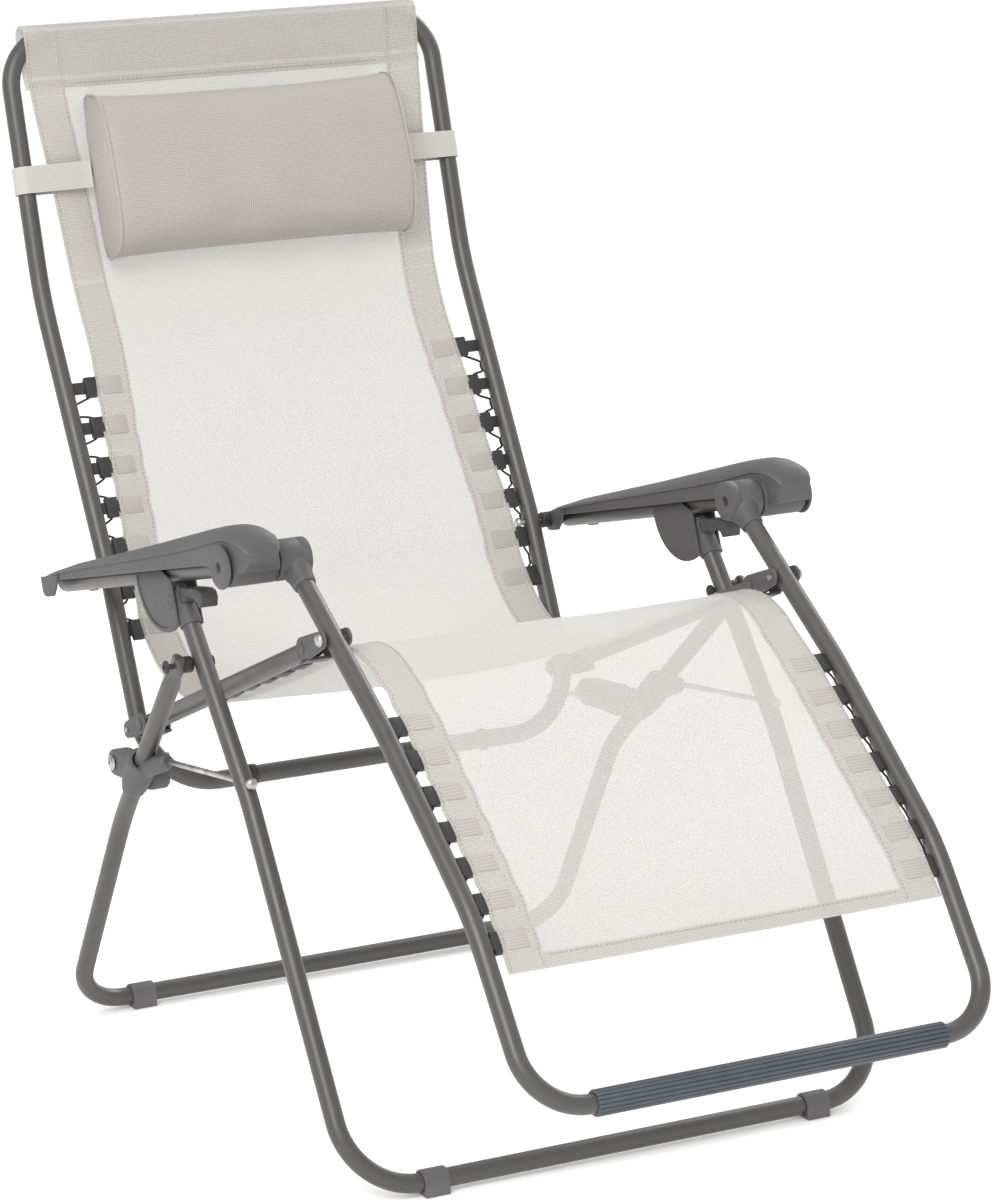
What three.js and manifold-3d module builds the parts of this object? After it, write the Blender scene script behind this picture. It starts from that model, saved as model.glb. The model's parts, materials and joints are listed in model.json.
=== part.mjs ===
// A folding zero gravity recliner: tubular steel frames, moulded armrests and a fabric sling.
// Millimetres, +Z up, the sitter faces -Y. The origin is on the floor, under the middle of the
// chair's outline, on its centre plane.
import * as THREE from 'three';
import { mergeVertices } from 'three/addons/utils/BufferGeometryUtils.js';
import Module from 'manifold-3d';

const wasm = await Module();
wasm.setup();

// ---------- driving dimensions ----------
const TUBE_R = 10;
const TUBE_SIDES = 14;
const ARC_STEP = THREE.MathUtils.degToRad(15);
const LEFT = -1;
const RIGHT = 1;

// half widths of the frames, to the tube centres
const FRONT_LEG_X = 314;
const REAR_LEG_X = 306;
const REAR_TOP_X = 341;
const SEAT_X = 264.5;
const ARM_X = 314;

// The side view is drawn from the middle of the two floor bars. The finished chair is moved back
// by this much, to put the origin under the middle of its outline.
const ORIGIN_SHIFT = 33.3;

// pivot points in the side view, as [y, z]
const LEG_PIVOT = [-15, 487];
const BACK_PIVOT = [232, 320];
const ARM_PIVOT = [316, 505];
const RAIL_PIVOT = [246, 350];
const KNEE_PIVOT = [-222, 551];
const HUB = [-129, 614];
const ARM_SLIDE = [44, 571.6];

// corners of the frames in the side view, as [y, z]
const BAR_Z = 13;
const FRONT_BAR = [-345, BAR_Z];
const REAR_BAR = [345, BAR_Z];
const FRONT_LEG_BEND = [-126, 365];
const REAR_LEG_END = [-24, 496];
const REAR_LEG_BEND = [205, 264];
const BACK_LOW_BAR = [217.5, 287];
const BACK_LOW_BEND = [318, 510];
const BACK_HIGH_BEND = [476, 790];
const BACK_TOP_BAR = [559, 1068];
const LEG_REST_BEND_HIGH = [-322, 483];
const LEG_REST_BEND_LOW = [-505, 335];
const FOOT_BAR = [-622, 174];

const BOLT_R = 3;
const HOLE_R = 3.5;
const ROD_R = 3;
const ROD_HOLE_R = 3.5;
const ROD_REAR = [66, 362];
const ROD_FRONT = [-133, 385.7];
const KNUCKLE_TOP = [119, 352];
const KNUCKLE_BOTTOM = [160, 310];
const HUB_R = 21;
const SLING_T = 4;
const SLING_X = 236;

// the headrest pillow lies on the upper back
const PILLOW_CENTRE_Z = 908;
const PILLOW_OFFSET = 39;
const PILLOW_HALF_WIDTH = 192;

// the arm guide: two quarter-round cheeks that straddle the arm tube and the top of the front leg
const GUIDE_R = 62;
const GUIDE_PIN = toward(ARM_SLIDE, FRONT_LEG_BEND, 34);
const COLLAR_R = 12;

// ---------- materials ----------
const frameGrey = new THREE.MeshStandardMaterial({ color: 0x646260, roughness: 0.45, metalness: 0.4 });
const plasticGrey = new THREE.MeshStandardMaterial({ color: 0x6a6866, roughness: 0.6, metalness: 0 });
const darkPlastic = new THREE.MeshStandardMaterial({ color: 0x2b2b2c, roughness: 0.6, metalness: 0 });
const steel = new THREE.MeshStandardMaterial({ color: 0xb8b6b2, roughness: 0.3, metalness: 1 });
const sleeveFoam = new THREE.MeshStandardMaterial({ color: 0x3a424b, roughness: 0.7, metalness: 0 });
const slingFabric = new THREE.MeshStandardMaterial({ color: 0xe4e3df, roughness: 0.85, metalness: 0 });
const pillowFabric = new THREE.MeshStandardMaterial({ color: 0xcfc9c0, roughness: 0.9, metalness: 0 });

// ---------- solids ----------
function toSolid(geometry) {
  const bare = geometry.index ? geometry.toNonIndexed() : geometry.clone();
  bare.deleteAttribute('normal');
  bare.deleteAttribute('uv');
  const merged = mergeVertices(bare, 1e-4);
  const vertProperties = Float32Array.from(merged.attributes.position.array);
  const triVerts = Uint32Array.from(merged.index.array);
  return new wasm.Manifold(new wasm.Mesh({ numProp: 3, vertProperties, triVerts }));
}

function toGeometry(solid) {
  const mesh = solid.getMesh();
  const geometry = new THREE.BufferGeometry();
  const positions = new Float32Array(mesh.vertProperties);
  geometry.setAttribute('position', new THREE.BufferAttribute(positions, 3));
  geometry.setIndex(Array.from(mesh.triVerts));
  return geometry;
}

function join(...geometries) {
  return toGeometry(geometries.map(toSolid).reduce((sum, next) => sum.add(next)));
}

function cut(geometry, ...tools) {
  return toGeometry(tools.map(toSolid).reduce((rest, tool) => rest.subtract(tool), toSolid(geometry)));
}

// ---------- paths and sweeps ----------
function at(x, [y, z]) {
  return new THREE.Vector3(x, y, z);
}

function between([y0, z0], [y1, z1], t) {
  return [y0 + (y1 - y0) * t, z0 + (z1 - z0) * t];
}

function toward(start, end, distance) {
  return between(start, end, distance / Math.hypot(end[0] - start[0], end[1] - start[1]));
}

// A path that passes through given stations and nowhere else.
class StationPath extends THREE.Curve {
  constructor(stations, closed = false) {
    super();
    this.stations = stations;
    this.closed = closed;
  }

  station(index) {
    const count = this.stations.length;
    return this.closed ? this.stations[(index + count) % count]
      : this.stations[THREE.MathUtils.clamp(index, 0, count - 1)];
  }

  spans() {
    return this.closed ? this.stations.length : this.stations.length - 1;
  }

  getPoint(t, target = new THREE.Vector3()) {
    const place = t * this.spans();
    const index = Math.floor(place + 1e-9);
    return target.lerpVectors(this.station(index), this.station(index + 1), place - index);
  }

  getPointAt(t, target) {
    return this.getPoint(t, target);
  }

  getTangent(t, target = new THREE.Vector3()) {
    const index = Math.round(t * this.spans());
    const here = this.station(index);
    const incoming = here.clone().sub(this.station(index - 1)).normalize();
    const outgoing = this.station(index + 1).clone().sub(here).normalize();
    return target.copy(incoming).add(outgoing).normalize();
  }

  getTangentAt(t, target) {
    return this.getTangent(t, target);
  }
}

// The stations of one rounded corner, as an arc tangent to both straights.
function cornerStations(before, corner, after, radius) {
  const back = before.clone().sub(corner).normalize();
  const ahead = after.clone().sub(corner).normalize();
  const half = back.angleTo(ahead) / 2;
  const turn = Math.PI - 2 * half;
  const middle = back.clone().add(ahead).normalize();
  const centre = corner.clone().addScaledVector(middle, radius / Math.sin(half));
  const spoke = corner.clone().addScaledVector(back, radius / Math.tan(half)).sub(centre);
  const lastSpoke = corner.clone().addScaledVector(ahead, radius / Math.tan(half)).sub(centre);
  const axis = spoke.clone().cross(lastSpoke).normalize();
  const steps = Math.max(2, Math.ceil(turn / ARC_STEP));
  const stations = [];
  for (let i = 0; i <= steps; i += 1) {
    stations.push(spoke.clone().applyAxisAngle(axis, turn * i / steps).add(centre));
  }
  return stations;
}

// corners is a list of [point, radius]; the first and last points of an open path have no radius.
function roundedStations(corners, closed = false) {
  const stations = [];
  const count = corners.length;
  corners.forEach(([point, radius], i) => {
    if (!radius) {
      stations.push(point);
      return;
    }
    const before = corners[(i - 1 + count) % count][0];
    const after = corners[(i + 1) % count][0];
    stations.push(...cornerStations(before, point, after, radius));
  });
  return new StationPath(stations, closed);
}

function circle(radius) {
  const shape = new THREE.Shape();
  shape.absarc(0, 0, radius, 0, Math.PI * 2);
  return shape;
}

function sweep(path, shape, curveSegments = TUBE_SIDES / 2) {
  return new THREE.ExtrudeGeometry(shape, { steps: path.spans(), curveSegments, extrudePath: path });
}

function tube(corners, radius = TUBE_R) {
  return sweep(roundedStations(corners), circle(radius));
}

function loopTube(corners, radius = TUBE_R) {
  const path = roundedStations(corners, true);
  return new THREE.TubeGeometry(path, path.spans(), radius, TUBE_SIDES, true);
}

function rod(start, end, radius, sides = TUBE_SIDES) {
  const length = start.distanceTo(end);
  const geometry = new THREE.CylinderGeometry(radius, radius, length, sides);
  const direction = end.clone().sub(start).normalize();
  const turn = new THREE.Quaternion().setFromUnitVectors(new THREE.Vector3(0, 1, 0), direction);
  geometry.applyQuaternion(turn);
  const middle = start.clone().lerp(end, 0.5);
  return geometry.translate(middle.x, middle.y, middle.z);
}

// A round bar along X between two distances from the centre plane, on one side of the chair.
function crossRod(side, xNear, xFar, point, radius, sides = TUBE_SIDES) {
  return rod(at(side * xNear, point), at(side * xFar, point), radius, sides);
}

// A side-view outline extruded along X between two distances from the centre plane.
function slab(side, xNear, xFar, shape, curveSegments = 6) {
  const depth = xFar - xNear;
  const geometry = new THREE.ExtrudeGeometry(shape, { depth, bevelEnabled: false, curveSegments });
  const axes = new THREE.Matrix4().makeBasis(
    new THREE.Vector3(0, 1, 0), new THREE.Vector3(0, 0, 1), new THREE.Vector3(1, 0, 0));
  geometry.applyMatrix4(axes);
  return geometry.translate(side > 0 ? xNear : -xFar, 0, 0);
}

function outline(points) {
  return new THREE.Shape(points.map(([y, z]) => new THREE.Vector2(y, z)));
}

// A capsule-shaped outline: a bar of half width r from start to end with round ends.
function capsule(start, end, r) {
  const angle = Math.atan2(end[1] - start[1], end[0] - start[0]);
  const shape = new THREE.Shape();
  shape.absarc(end[0], end[1], r, angle - Math.PI / 2, angle + Math.PI / 2);
  shape.absarc(start[0], start[1], r, angle + Math.PI / 2, angle + Math.PI * 1.5);
  return shape;
}

function boltHole(point, xNear = 200, xFar = 360) {
  return [LEFT, RIGHT].map((side) => crossRod(side, xNear, xFar, point, HOLE_R, 12));
}

// ---------- base ----------
function frontLegFrame() {
  const legs = [];
  for (const side of [LEFT, RIGHT]) {
    legs.push([[at(side * FRONT_LEG_X, toward(ARM_SLIDE, FRONT_LEG_BEND, 21)), 0],
      [at(side * FRONT_LEG_X, FRONT_LEG_BEND), 160],
      [at(side * FRONT_LEG_X, FRONT_BAR), 75]]);
  }
  const frame = tube([...legs[0], ...legs[1].reverse()]);
  const rodHoles = [LEFT, RIGHT].map((side) => rod(
    at(side * FRONT_LEG_X, toward(ROD_REAR, ROD_FRONT, 130)),
    at(side * FRONT_LEG_X, toward(ROD_REAR, ROD_FRONT, 230)), ROD_HOLE_R, 12));
  return cut(frame, ...boltHole(LEG_PIVOT), ...boltHole(GUIDE_PIN), ...rodHoles);
}

function rearLegFrame() {
  const legs = [];
  for (const side of [LEFT, RIGHT]) {
    legs.push([[at(side * REAR_TOP_X, REAR_LEG_END), 0],
      [at(side * REAR_LEG_X, REAR_LEG_BEND), 200],
      [at(side * REAR_LEG_X, REAR_BAR), 60]]);
  }
  return cut(tube([...legs[0], ...legs[1].reverse()]), ...boltHole(LEG_PIVOT));
}

function rearLegAt(side, point) {
  const share = (REAR_LEG_BEND[0] - point[0]) / (REAR_LEG_BEND[0] - REAR_LEG_END[0]);
  return at(side * (REAR_LEG_X + (REAR_TOP_X - REAR_LEG_X) * share), point);
}

function legPivotBolt(side) {
  const shaft = crossRod(side, 299, 354, LEG_PIVOT, BOLT_R, 12);
  const head = crossRod(side, 352, 355, LEG_PIVOT, 7, 12);
  const washer = crossRod(side, 324.4, 327.6, LEG_PIVOT, 9, 16);
  return join(shaft, head, washer);
}

// A floor clip: a flat-footed ring around a floor bar.
function floorClip(side, bar) {
  const shape = new THREE.Shape();
  shape.absarc(bar[0], bar[1], 13, 0, Math.PI);
  shape.lineTo(bar[0] - 13, 0);
  shape.lineTo(bar[0] + 13, 0);
  const bore = new THREE.Path();
  bore.absarc(bar[0], bar[1], TUBE_R + 0.4, 0, Math.PI * 2, true);
  shape.holes.push(bore);
  return slab(side, 212, 240, shape, 8);
}

// The knuckle: a collar round the rear leg, with a rear lug for the back frame and a front nose
// that holds the tension rod.
function knuckle(side) {
  const collar = rod(rearLegAt(side, KNUCKLE_TOP), rearLegAt(side, KNUCKLE_BOTTOM), 16, 20);
  const lugRoot = between(KNUCKLE_TOP, KNUCKLE_BOTTOM, 0.7);
  const lug = slab(side, 282, 304, capsule(lugRoot, BACK_PIVOT, 15), 8);
  const noseRoot = between(KNUCKLE_TOP, KNUCKLE_BOTTOM, 0.25);
  const noseTip = toward(ROD_REAR, ROD_FRONT, -4);
  const nose = rod(rearLegAt(side, noseRoot), at(side * ARM_X, noseTip), 8, 12);
  const leg = rod(rearLegAt(side, between(REAR_LEG_END, REAR_LEG_BEND, 0.2)),
    rearLegAt(side, between(REAR_LEG_END, REAR_LEG_BEND, 1.2)), TUBE_R + 0.5, 20);
  return cut(join(collar, lug, nose), leg, ...boltHole(BACK_PIVOT));
}

function tensionRod(side) {
  const shaft = rod(at(side * ARM_X, ROD_REAR), at(side * ARM_X, ROD_FRONT), ROD_R, 10);
  const headStart = at(side * ARM_X, toward(ROD_FRONT, ROD_REAR, 3));
  const head = rod(headStart, at(side * ARM_X, toward(ROD_FRONT, ROD_REAR, -2)), 6, 12);
  return join(shaft, head);
}

// ---------- seat linkage ----------
function backFrame() {
  const left = [[at(-SEAT_X, BACK_LOW_BAR), 80], [at(-SEAT_X, BACK_LOW_BEND), 200],
    [at(-SEAT_X, BACK_HIGH_BEND), 300], [at(-SEAT_X, BACK_TOP_BAR), 60]];
  const right = [[at(SEAT_X, BACK_TOP_BAR), 60], [at(SEAT_X, BACK_HIGH_BEND), 300],
    [at(SEAT_X, BACK_LOW_BEND), 200], [at(SEAT_X, BACK_LOW_BAR), 80]];
  return cut(loopTube([...left, ...right]),
    ...boltHole(BACK_PIVOT), ...boltHole(RAIL_PIVOT), ...boltHole(ARM_PIVOT));
}

function backPivotBolt(side) {
  const shaft = crossRod(side, 236, 306, BACK_PIVOT, BOLT_R, 12);
  const head = crossRod(side, 305, 308, BACK_PIVOT, 8, 16);
  const spacer = crossRod(side, 266, 281.5, BACK_PIVOT, 7, 16);
  return join(shaft, head, spacer);
}

function railPivotBolt(side) {
  const shaft = crossRod(side, 242, 281, RAIL_PIVOT, BOLT_R, 12);
  const head = crossRod(side, 242, 246, RAIL_PIVOT, 6, 12);
  return join(shaft, head);
}

function kneePin(side) {
  const shaft = crossRod(side, 245, 285, KNEE_PIVOT, BOLT_R, 12);
  const head = crossRod(side, 282, 285, KNEE_PIVOT, 7, 12);
  return join(shaft, head);
}

function seatRail(side) {
  const start = toward(RAIL_PIVOT, KNEE_PIVOT, 34);
  const end = toward(KNEE_PIVOT, RAIL_PIVOT, 44);
  return rod(at(side * SEAT_X, start), at(side * SEAT_X, end), TUBE_R);
}

// Two cheeks that straddle a frame tube, joined by a cradle under the seat rail's end.
function railFork(side, pivot, other, reach) {
  const tip = toward(pivot, other, reach);
  const slope = Math.atan(Math.abs((other[1] - pivot[1]) / (other[0] - pivot[0])));
  const under = (t, depth) => {
    const [y, z] = toward(pivot, other, t);
    return [y - depth * Math.sin(slope), z - depth * Math.cos(slope)];
  };
  const strip = (top, bottom) => outline([under(reach - 8, top), under(reach + 8, top),
    under(reach + 8, bottom), under(reach - 8, bottom)]);
  const cheeks = [slab(side, 248.2, 251.2, capsule(pivot, tip, 9), 6),
    slab(side, 276.7, 279.7, capsule(pivot, tip, 9), 6)];
  const cradle = [slab(side, 248.2, 251.2, strip(2, 14)), slab(side, 276.7, 279.7, strip(2, 14)),
    slab(side, 248.2, 279.7, strip(11, 14))];
  return cut(join(...cheeks, ...cradle), ...boltHole(pivot));
}

function legRestFrame() {
  const legs = [];
  for (const side of [LEFT, RIGHT]) {
    legs.push([[at(side * SEAT_X, toward(HUB, LEG_REST_BEND_HIGH, HUB_R + 1.5)), 0],
      [at(side * SEAT_X, LEG_REST_BEND_HIGH), 300],
      [at(side * SEAT_X, LEG_REST_BEND_LOW), 260],
      [at(side * SEAT_X, FOOT_BAR), 62]]);
  }
  return cut(tube([...legs[0], ...legs[1].reverse()]), ...boltHole(KNEE_PIVOT));
}

function legRestHub(side) {
  return crossRod(side, 249, 285.2, HUB, HUB_R, 24);
}

// A ribbed sleeve over the foot bar.
function footSleeve() {
  const ribs = 18;
  const shape = new THREE.Shape();
  for (let i = 0; i < ribs * 2; i += 1) {
    const angle = Math.PI * i / ribs;
    const radius = i % 2 ? 12.4 : 13.4;
    const y = FOOT_BAR[0] + radius * Math.cos(angle);
    const z = FOOT_BAR[1] + radius * Math.sin(angle);
    if (i === 0) {
      shape.moveTo(y, z);
    } else {
      shape.lineTo(y, z);
    }
  }
  const bore = new THREE.Path();
  bore.absarc(FOOT_BAR[0], FOOT_BAR[1], TUBE_R + 0.5, 0, Math.PI * 2, true);
  shape.holes.push(bore);
  return slab(RIGHT, -200, 200, shape, 8);
}

// ---------- arms ----------
// A point beside the arm tube: u along it from the rear pivot, v square to it and upward.
function onArm(u, v) {
  const length = Math.hypot(HUB[0] - ARM_PIVOT[0], HUB[1] - ARM_PIVOT[1]);
  const dy = (HUB[0] - ARM_PIVOT[0]) / length;
  const dz = (HUB[1] - ARM_PIVOT[1]) / length;
  return [ARM_PIVOT[0] + u * dy + v * dz, ARM_PIVOT[1] + u * dz - v * dy];
}

function armTube(side) {
  return rod(at(side * ARM_X, onArm(-2, 0)), at(side * ARM_X, onArm(434, 0)), 11);
}

function armShell(side) {
  const roof = new THREE.Shape();
  roof.moveTo(...onArm(-12, 12.5));
  roof.quadraticCurveTo(...onArm(210, 37), ...onArm(440, 41));
  roof.quadraticCurveTo(...onArm(487, 42), ...onArm(500, 16));
  roof.quadraticCurveTo(...onArm(504, -2), ...onArm(490, -7));
  roof.lineTo(...onArm(452, 12));
  const skirt = outline([onArm(12, 13), onArm(12, 4), onArm(426, 4), onArm(426, 13)]);
  const rearLobe = outline([onArm(-10, 13), onArm(10, -13), onArm(22, -13), onArm(36, 5), onArm(36, 13)]);
  const barrel = crossRod(side, 287, 338, HUB, HUB_R, 24);
  return join(slab(side, 287, 341, roof, 10), slab(side, 287, 290, skirt),
    slab(side, 338, 341, skirt), slab(side, 338, 341, rearLobe), barrel);
}

function hubDisc(side) {
  return crossRod(side, 341.4, 346, HUB, 22.5, 28);
}

// The clip that joins the arm tube's rear end to the back frame.
function armClip(side) {
  const boss = crossRod(side, 277, 302.4, ARM_PIVOT, 9, 16);
  return cut(boss, ...boltHole(ARM_PIVOT));
}

function armPivotBolt(side) {
  const shaft = crossRod(side, 244, 301, ARM_PIVOT, BOLT_R, 12);
  const head = crossRod(side, 244, 248, ARM_PIVOT, 6, 12);
  return join(shaft, head);
}

// The slide bracket: two quarter-round cheeks on a pin through the front leg's top. The arm tube
// slides between them.
function slideBracket(side) {
  const legAngle = Math.atan2(FRONT_LEG_BEND[1] - ARM_SLIDE[1], FRONT_LEG_BEND[0] - ARM_SLIDE[0]);
  const armAngle = Math.atan2(ARM_PIVOT[1] - ARM_SLIDE[1], ARM_PIVOT[0] - ARM_SLIDE[0]);
  const wing = new THREE.Shape();
  wing.moveTo(...onArm(280, 3));
  wing.lineTo(...onArm(280 - GUIDE_R + 4, 3));
  wing.absarc(ARM_SLIDE[0], ARM_SLIDE[1], GUIDE_R, armAngle, legAngle, true);
  wing.lineTo(...onArm(302, -14));
  const pin = crossRod(side, 299.5, 328.5, GUIDE_PIN, BOLT_R, 12);
  return join(slab(side, 299, 301.6, wing, 8), slab(side, 326.4, 329, wing, 8), pin);
}

// The collar round the front leg's top, between the two cheeks.
function legCollar(side) {
  const collar = rod(at(side * FRONT_LEG_X, toward(ARM_SLIDE, FRONT_LEG_BEND, 24)),
    at(side * FRONT_LEG_X, toward(ARM_SLIDE, FRONT_LEG_BEND, 64)), COLLAR_R, 20);
  const legRun = rod(at(side * FRONT_LEG_X, ARM_SLIDE),
    at(side * FRONT_LEG_X, toward(ARM_SLIDE, FRONT_LEG_BEND, 90)), TUBE_R + 0.4, 20);
  return cut(collar, legRun, ...boltHole(GUIDE_PIN));
}

function lockLever(side) {
  const lever = new THREE.Shape();
  lever.moveTo(6, 563);
  lever.lineTo(-30, 569);
  lever.quadraticCurveTo(-44, 566, -40, 552);
  lever.lineTo(-34, 550);
  lever.quadraticCurveTo(-30, 560, -8, 556);
  lever.lineTo(4, 554);
  return slab(side, 304, 324, lever, 6);
}

// ---------- soft parts ----------
// A thin sheet between the side tubes whose side view follows the given line.
function sling(line) {
  const upper = [];
  const lower = [];
  line.forEach((point, i) => {
    const before = line[Math.max(i - 1, 0)];
    const after = line[Math.min(i + 1, line.length - 1)];
    const angle = Math.atan2(after[1] - before[1], after[0] - before[0]) + Math.PI / 2;
    const dy = Math.cos(angle) * SLING_T / 2;
    const dz = Math.sin(angle) * SLING_T / 2;
    upper.push([point[0] + dy, point[1] + dz]);
    lower.unshift([point[0] - dy, point[1] - dz]);
  });
  return slab(RIGHT, -SLING_X, SLING_X, outline([...upper, ...lower].reverse()));
}

function backSling() {
  return sling([toward(BACK_LOW_BAR, BACK_LOW_BEND, 112), BACK_LOW_BEND,
    between(BACK_LOW_BEND, BACK_HIGH_BEND, 0.85), between(BACK_HIGH_BEND, BACK_TOP_BAR, 0.15),
    toward(BACK_TOP_BAR, BACK_HIGH_BEND, 28)]);
}

function seatSling() {
  const start = toward(RAIL_PIVOT, KNEE_PIVOT, 38);
  const middle = between(RAIL_PIVOT, KNEE_PIVOT, 0.5);
  const end = toward(KNEE_PIVOT, RAIL_PIVOT, 24);
  return sling([start, [middle[0], middle[1] - 14], end]);
}

function legSling() {
  return sling([toward(KNEE_PIVOT, LEG_REST_BEND_HIGH, 26),
    between(KNEE_PIVOT, LEG_REST_BEND_HIGH, 0.85), between(LEG_REST_BEND_HIGH, LEG_REST_BEND_LOW, 0.15),
    between(LEG_REST_BEND_HIGH, LEG_REST_BEND_LOW, 0.8), between(LEG_REST_BEND_LOW, FOOT_BAR, 0.26)]);
}

function backLineY(z) {
  const share = (z - BACK_HIGH_BEND[1]) / (BACK_TOP_BAR[1] - BACK_HIGH_BEND[1]);
  return BACK_HIGH_BEND[0] + share * (BACK_TOP_BAR[0] - BACK_HIGH_BEND[0]);
}

const BACK_LEAN = Math.atan2(BACK_TOP_BAR[0] - BACK_HIGH_BEND[0], BACK_TOP_BAR[1] - BACK_HIGH_BEND[1]);

// Turns a geometry built upright at the origin to lie along the upper back.
function ontoBack(geometry, offset) {
  geometry.rotateX(-BACK_LEAN);
  const y = backLineY(PILLOW_CENTRE_Z) - offset * Math.cos(BACK_LEAN);
  const z = PILLOW_CENTRE_Z + offset * Math.sin(BACK_LEAN);
  return geometry.translate(0, y, z);
}

// The pillow: 60 mm thick, with rounded edges.
function headrestPillow() {
  const shape = new THREE.Shape();
  shape.moveTo(-18, -88);
  shape.quadraticCurveTo(30, -96, 30, -60);
  shape.lineTo(30, 60);
  shape.quadraticCurveTo(30, 96, -18, 88);
  shape.quadraticCurveTo(-32, 60, -32, 0);
  shape.quadraticCurveTo(-32, -60, -18, -88);
  return ontoBack(slab(RIGHT, -PILLOW_HALF_WIDTH, PILLOW_HALF_WIDTH, shape), PILLOW_OFFSET);
}

// A flat strap looped round the back frame's side tube, with a tongue in front of the sling that
// runs to the pillow.
function headrestStrap(side) {
  const height = 30;
  const near = TUBE_R + 1.5;
  const far = near + 1.5;
  const tongue = near + 0.3;
  const halfRound = (radius) => Array.from({ length: 9 }, (_, i) => {
    const angle = Math.PI * (i / 8 - 0.5);
    return [side * radius * Math.cos(angle), radius * Math.sin(angle)];
  });
  const counterClockwise = (points) => outline(side > 0 ? points : points.reverse());
  const loop = counterClockwise([...halfRound(far), [-side * 25, far], [-side * 25, -tongue],
    [-side * 70, -tongue], [-side * 70, -far]]);
  loop.holes.push(counterClockwise([...halfRound(near), [-side * 23.5, near], [-side * 23.5, -near]]));
  const strap = new THREE.ExtrudeGeometry(loop, { depth: height, bevelEnabled: false });
  strap.translate(side * SEAT_X, 0, -height / 2);
  return ontoBack(strap, 0);
}

// ---------- the chair ----------
const chair = new THREE.Group();
chair.position.y = ORIGIN_SHIFT;

function add(name, geometry, material) {
  const mesh = new THREE.Mesh(geometry, material);
  mesh.name = name;
  chair.add(mesh);
}

add('front_leg_frame', frontLegFrame(), frameGrey);
add('rear_leg_frame', rearLegFrame(), frameGrey);
add('back_frame', backFrame(), frameGrey);
add('leg_rest_frame', legRestFrame(), frameGrey);
add('foot_sleeve', footSleeve(), sleeveFoam);
for (const [side, tag] of [[LEFT, 'left'], [RIGHT, 'right']]) {
  add(`leg_pivot_bolt_${tag}`, legPivotBolt(side), darkPlastic);
  add(`front_floor_clip_${tag}`, floorClip(side, FRONT_BAR), plasticGrey);
  add(`rear_floor_clip_${tag}`, floorClip(side, REAR_BAR), plasticGrey);
  add(`knuckle_${tag}`, knuckle(side), plasticGrey);
  add(`tension_rod_${tag}`, tensionRod(side), steel);
  add(`back_pivot_bolt_${tag}`, backPivotBolt(side), steel);
  add(`rail_pivot_bolt_${tag}`, railPivotBolt(side), steel);
  add(`knee_pin_${tag}`, kneePin(side), steel);
  add(`seat_rail_${tag}`, seatRail(side), frameGrey);
  add(`rear_rail_fork_${tag}`, railFork(side, RAIL_PIVOT, KNEE_PIVOT, 36), plasticGrey);
  add(`front_rail_fork_${tag}`, railFork(side, KNEE_PIVOT, RAIL_PIVOT, 46), plasticGrey);
  add(`leg_rest_hub_${tag}`, legRestHub(side), plasticGrey);
  add(`armrest_${tag}`, armShell(side), plasticGrey);
  add(`arm_tube_${tag}`, armTube(side), frameGrey);
  add(`hub_disc_${tag}`, hubDisc(side), plasticGrey);
  add(`arm_clip_${tag}`, armClip(side), darkPlastic);
  add(`arm_pivot_bolt_${tag}`, armPivotBolt(side), steel);
  add(`slide_bracket_${tag}`, slideBracket(side), plasticGrey);
  add(`leg_collar_${tag}`, legCollar(side), plasticGrey);
  add(`lock_lever_${tag}`, lockLever(side), darkPlastic);
  add(`headrest_strap_${tag}`, headrestStrap(side), slingFabric);
}
add('back_sling', backSling(), slingFabric);
add('seat_sling', seatSling(), slingFabric);
add('leg_sling', legSling(), slingFabric);
add('headrest_pillow', headrestPillow(), pillowFabric);

export default chair;
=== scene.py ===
"""A folding zero gravity recliner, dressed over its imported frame. Metres, +Z up, the sitter faces -Y."""
import json
import math

import bmesh
import bpy
import numpy as np
from mathutils import Matrix, Vector


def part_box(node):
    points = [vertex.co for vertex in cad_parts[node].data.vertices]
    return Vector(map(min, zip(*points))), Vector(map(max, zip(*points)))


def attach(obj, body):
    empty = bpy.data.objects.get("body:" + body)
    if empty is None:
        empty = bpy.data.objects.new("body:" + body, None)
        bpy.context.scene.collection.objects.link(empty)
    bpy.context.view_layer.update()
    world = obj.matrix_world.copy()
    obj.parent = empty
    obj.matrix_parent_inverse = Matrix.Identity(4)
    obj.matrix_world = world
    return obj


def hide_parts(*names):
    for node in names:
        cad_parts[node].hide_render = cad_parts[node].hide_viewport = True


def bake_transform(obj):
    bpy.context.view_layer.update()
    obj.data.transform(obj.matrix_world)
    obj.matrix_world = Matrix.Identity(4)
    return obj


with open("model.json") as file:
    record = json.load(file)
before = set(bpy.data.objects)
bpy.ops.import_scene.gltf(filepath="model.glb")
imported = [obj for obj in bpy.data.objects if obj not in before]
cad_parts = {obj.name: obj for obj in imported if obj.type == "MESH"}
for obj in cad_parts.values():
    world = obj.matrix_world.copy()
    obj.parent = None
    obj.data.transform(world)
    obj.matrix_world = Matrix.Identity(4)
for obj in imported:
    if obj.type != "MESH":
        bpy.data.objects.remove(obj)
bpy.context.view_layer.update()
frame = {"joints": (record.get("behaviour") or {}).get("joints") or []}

MM = 0.001
LEFT, RIGHT = -1, 1
TAGS = {LEFT: "left", RIGHT: "right"}
JOINTS = {joint["name"]: joint for joint in frame["joints"]}


# ---------- the frame's points in the side view, as (y, z) ----------
def yz(y, z):
    return np.array([y, z]) * MM


def spot(y, z):
    """A point measured from the middle of the two floor bars."""
    return yz(y, z) + BARS_MIDDLE


def box_centre(node):
    low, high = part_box(node)
    return np.array([(low.y + high.y) / 2, (low.z + high.z) / 2])


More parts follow.
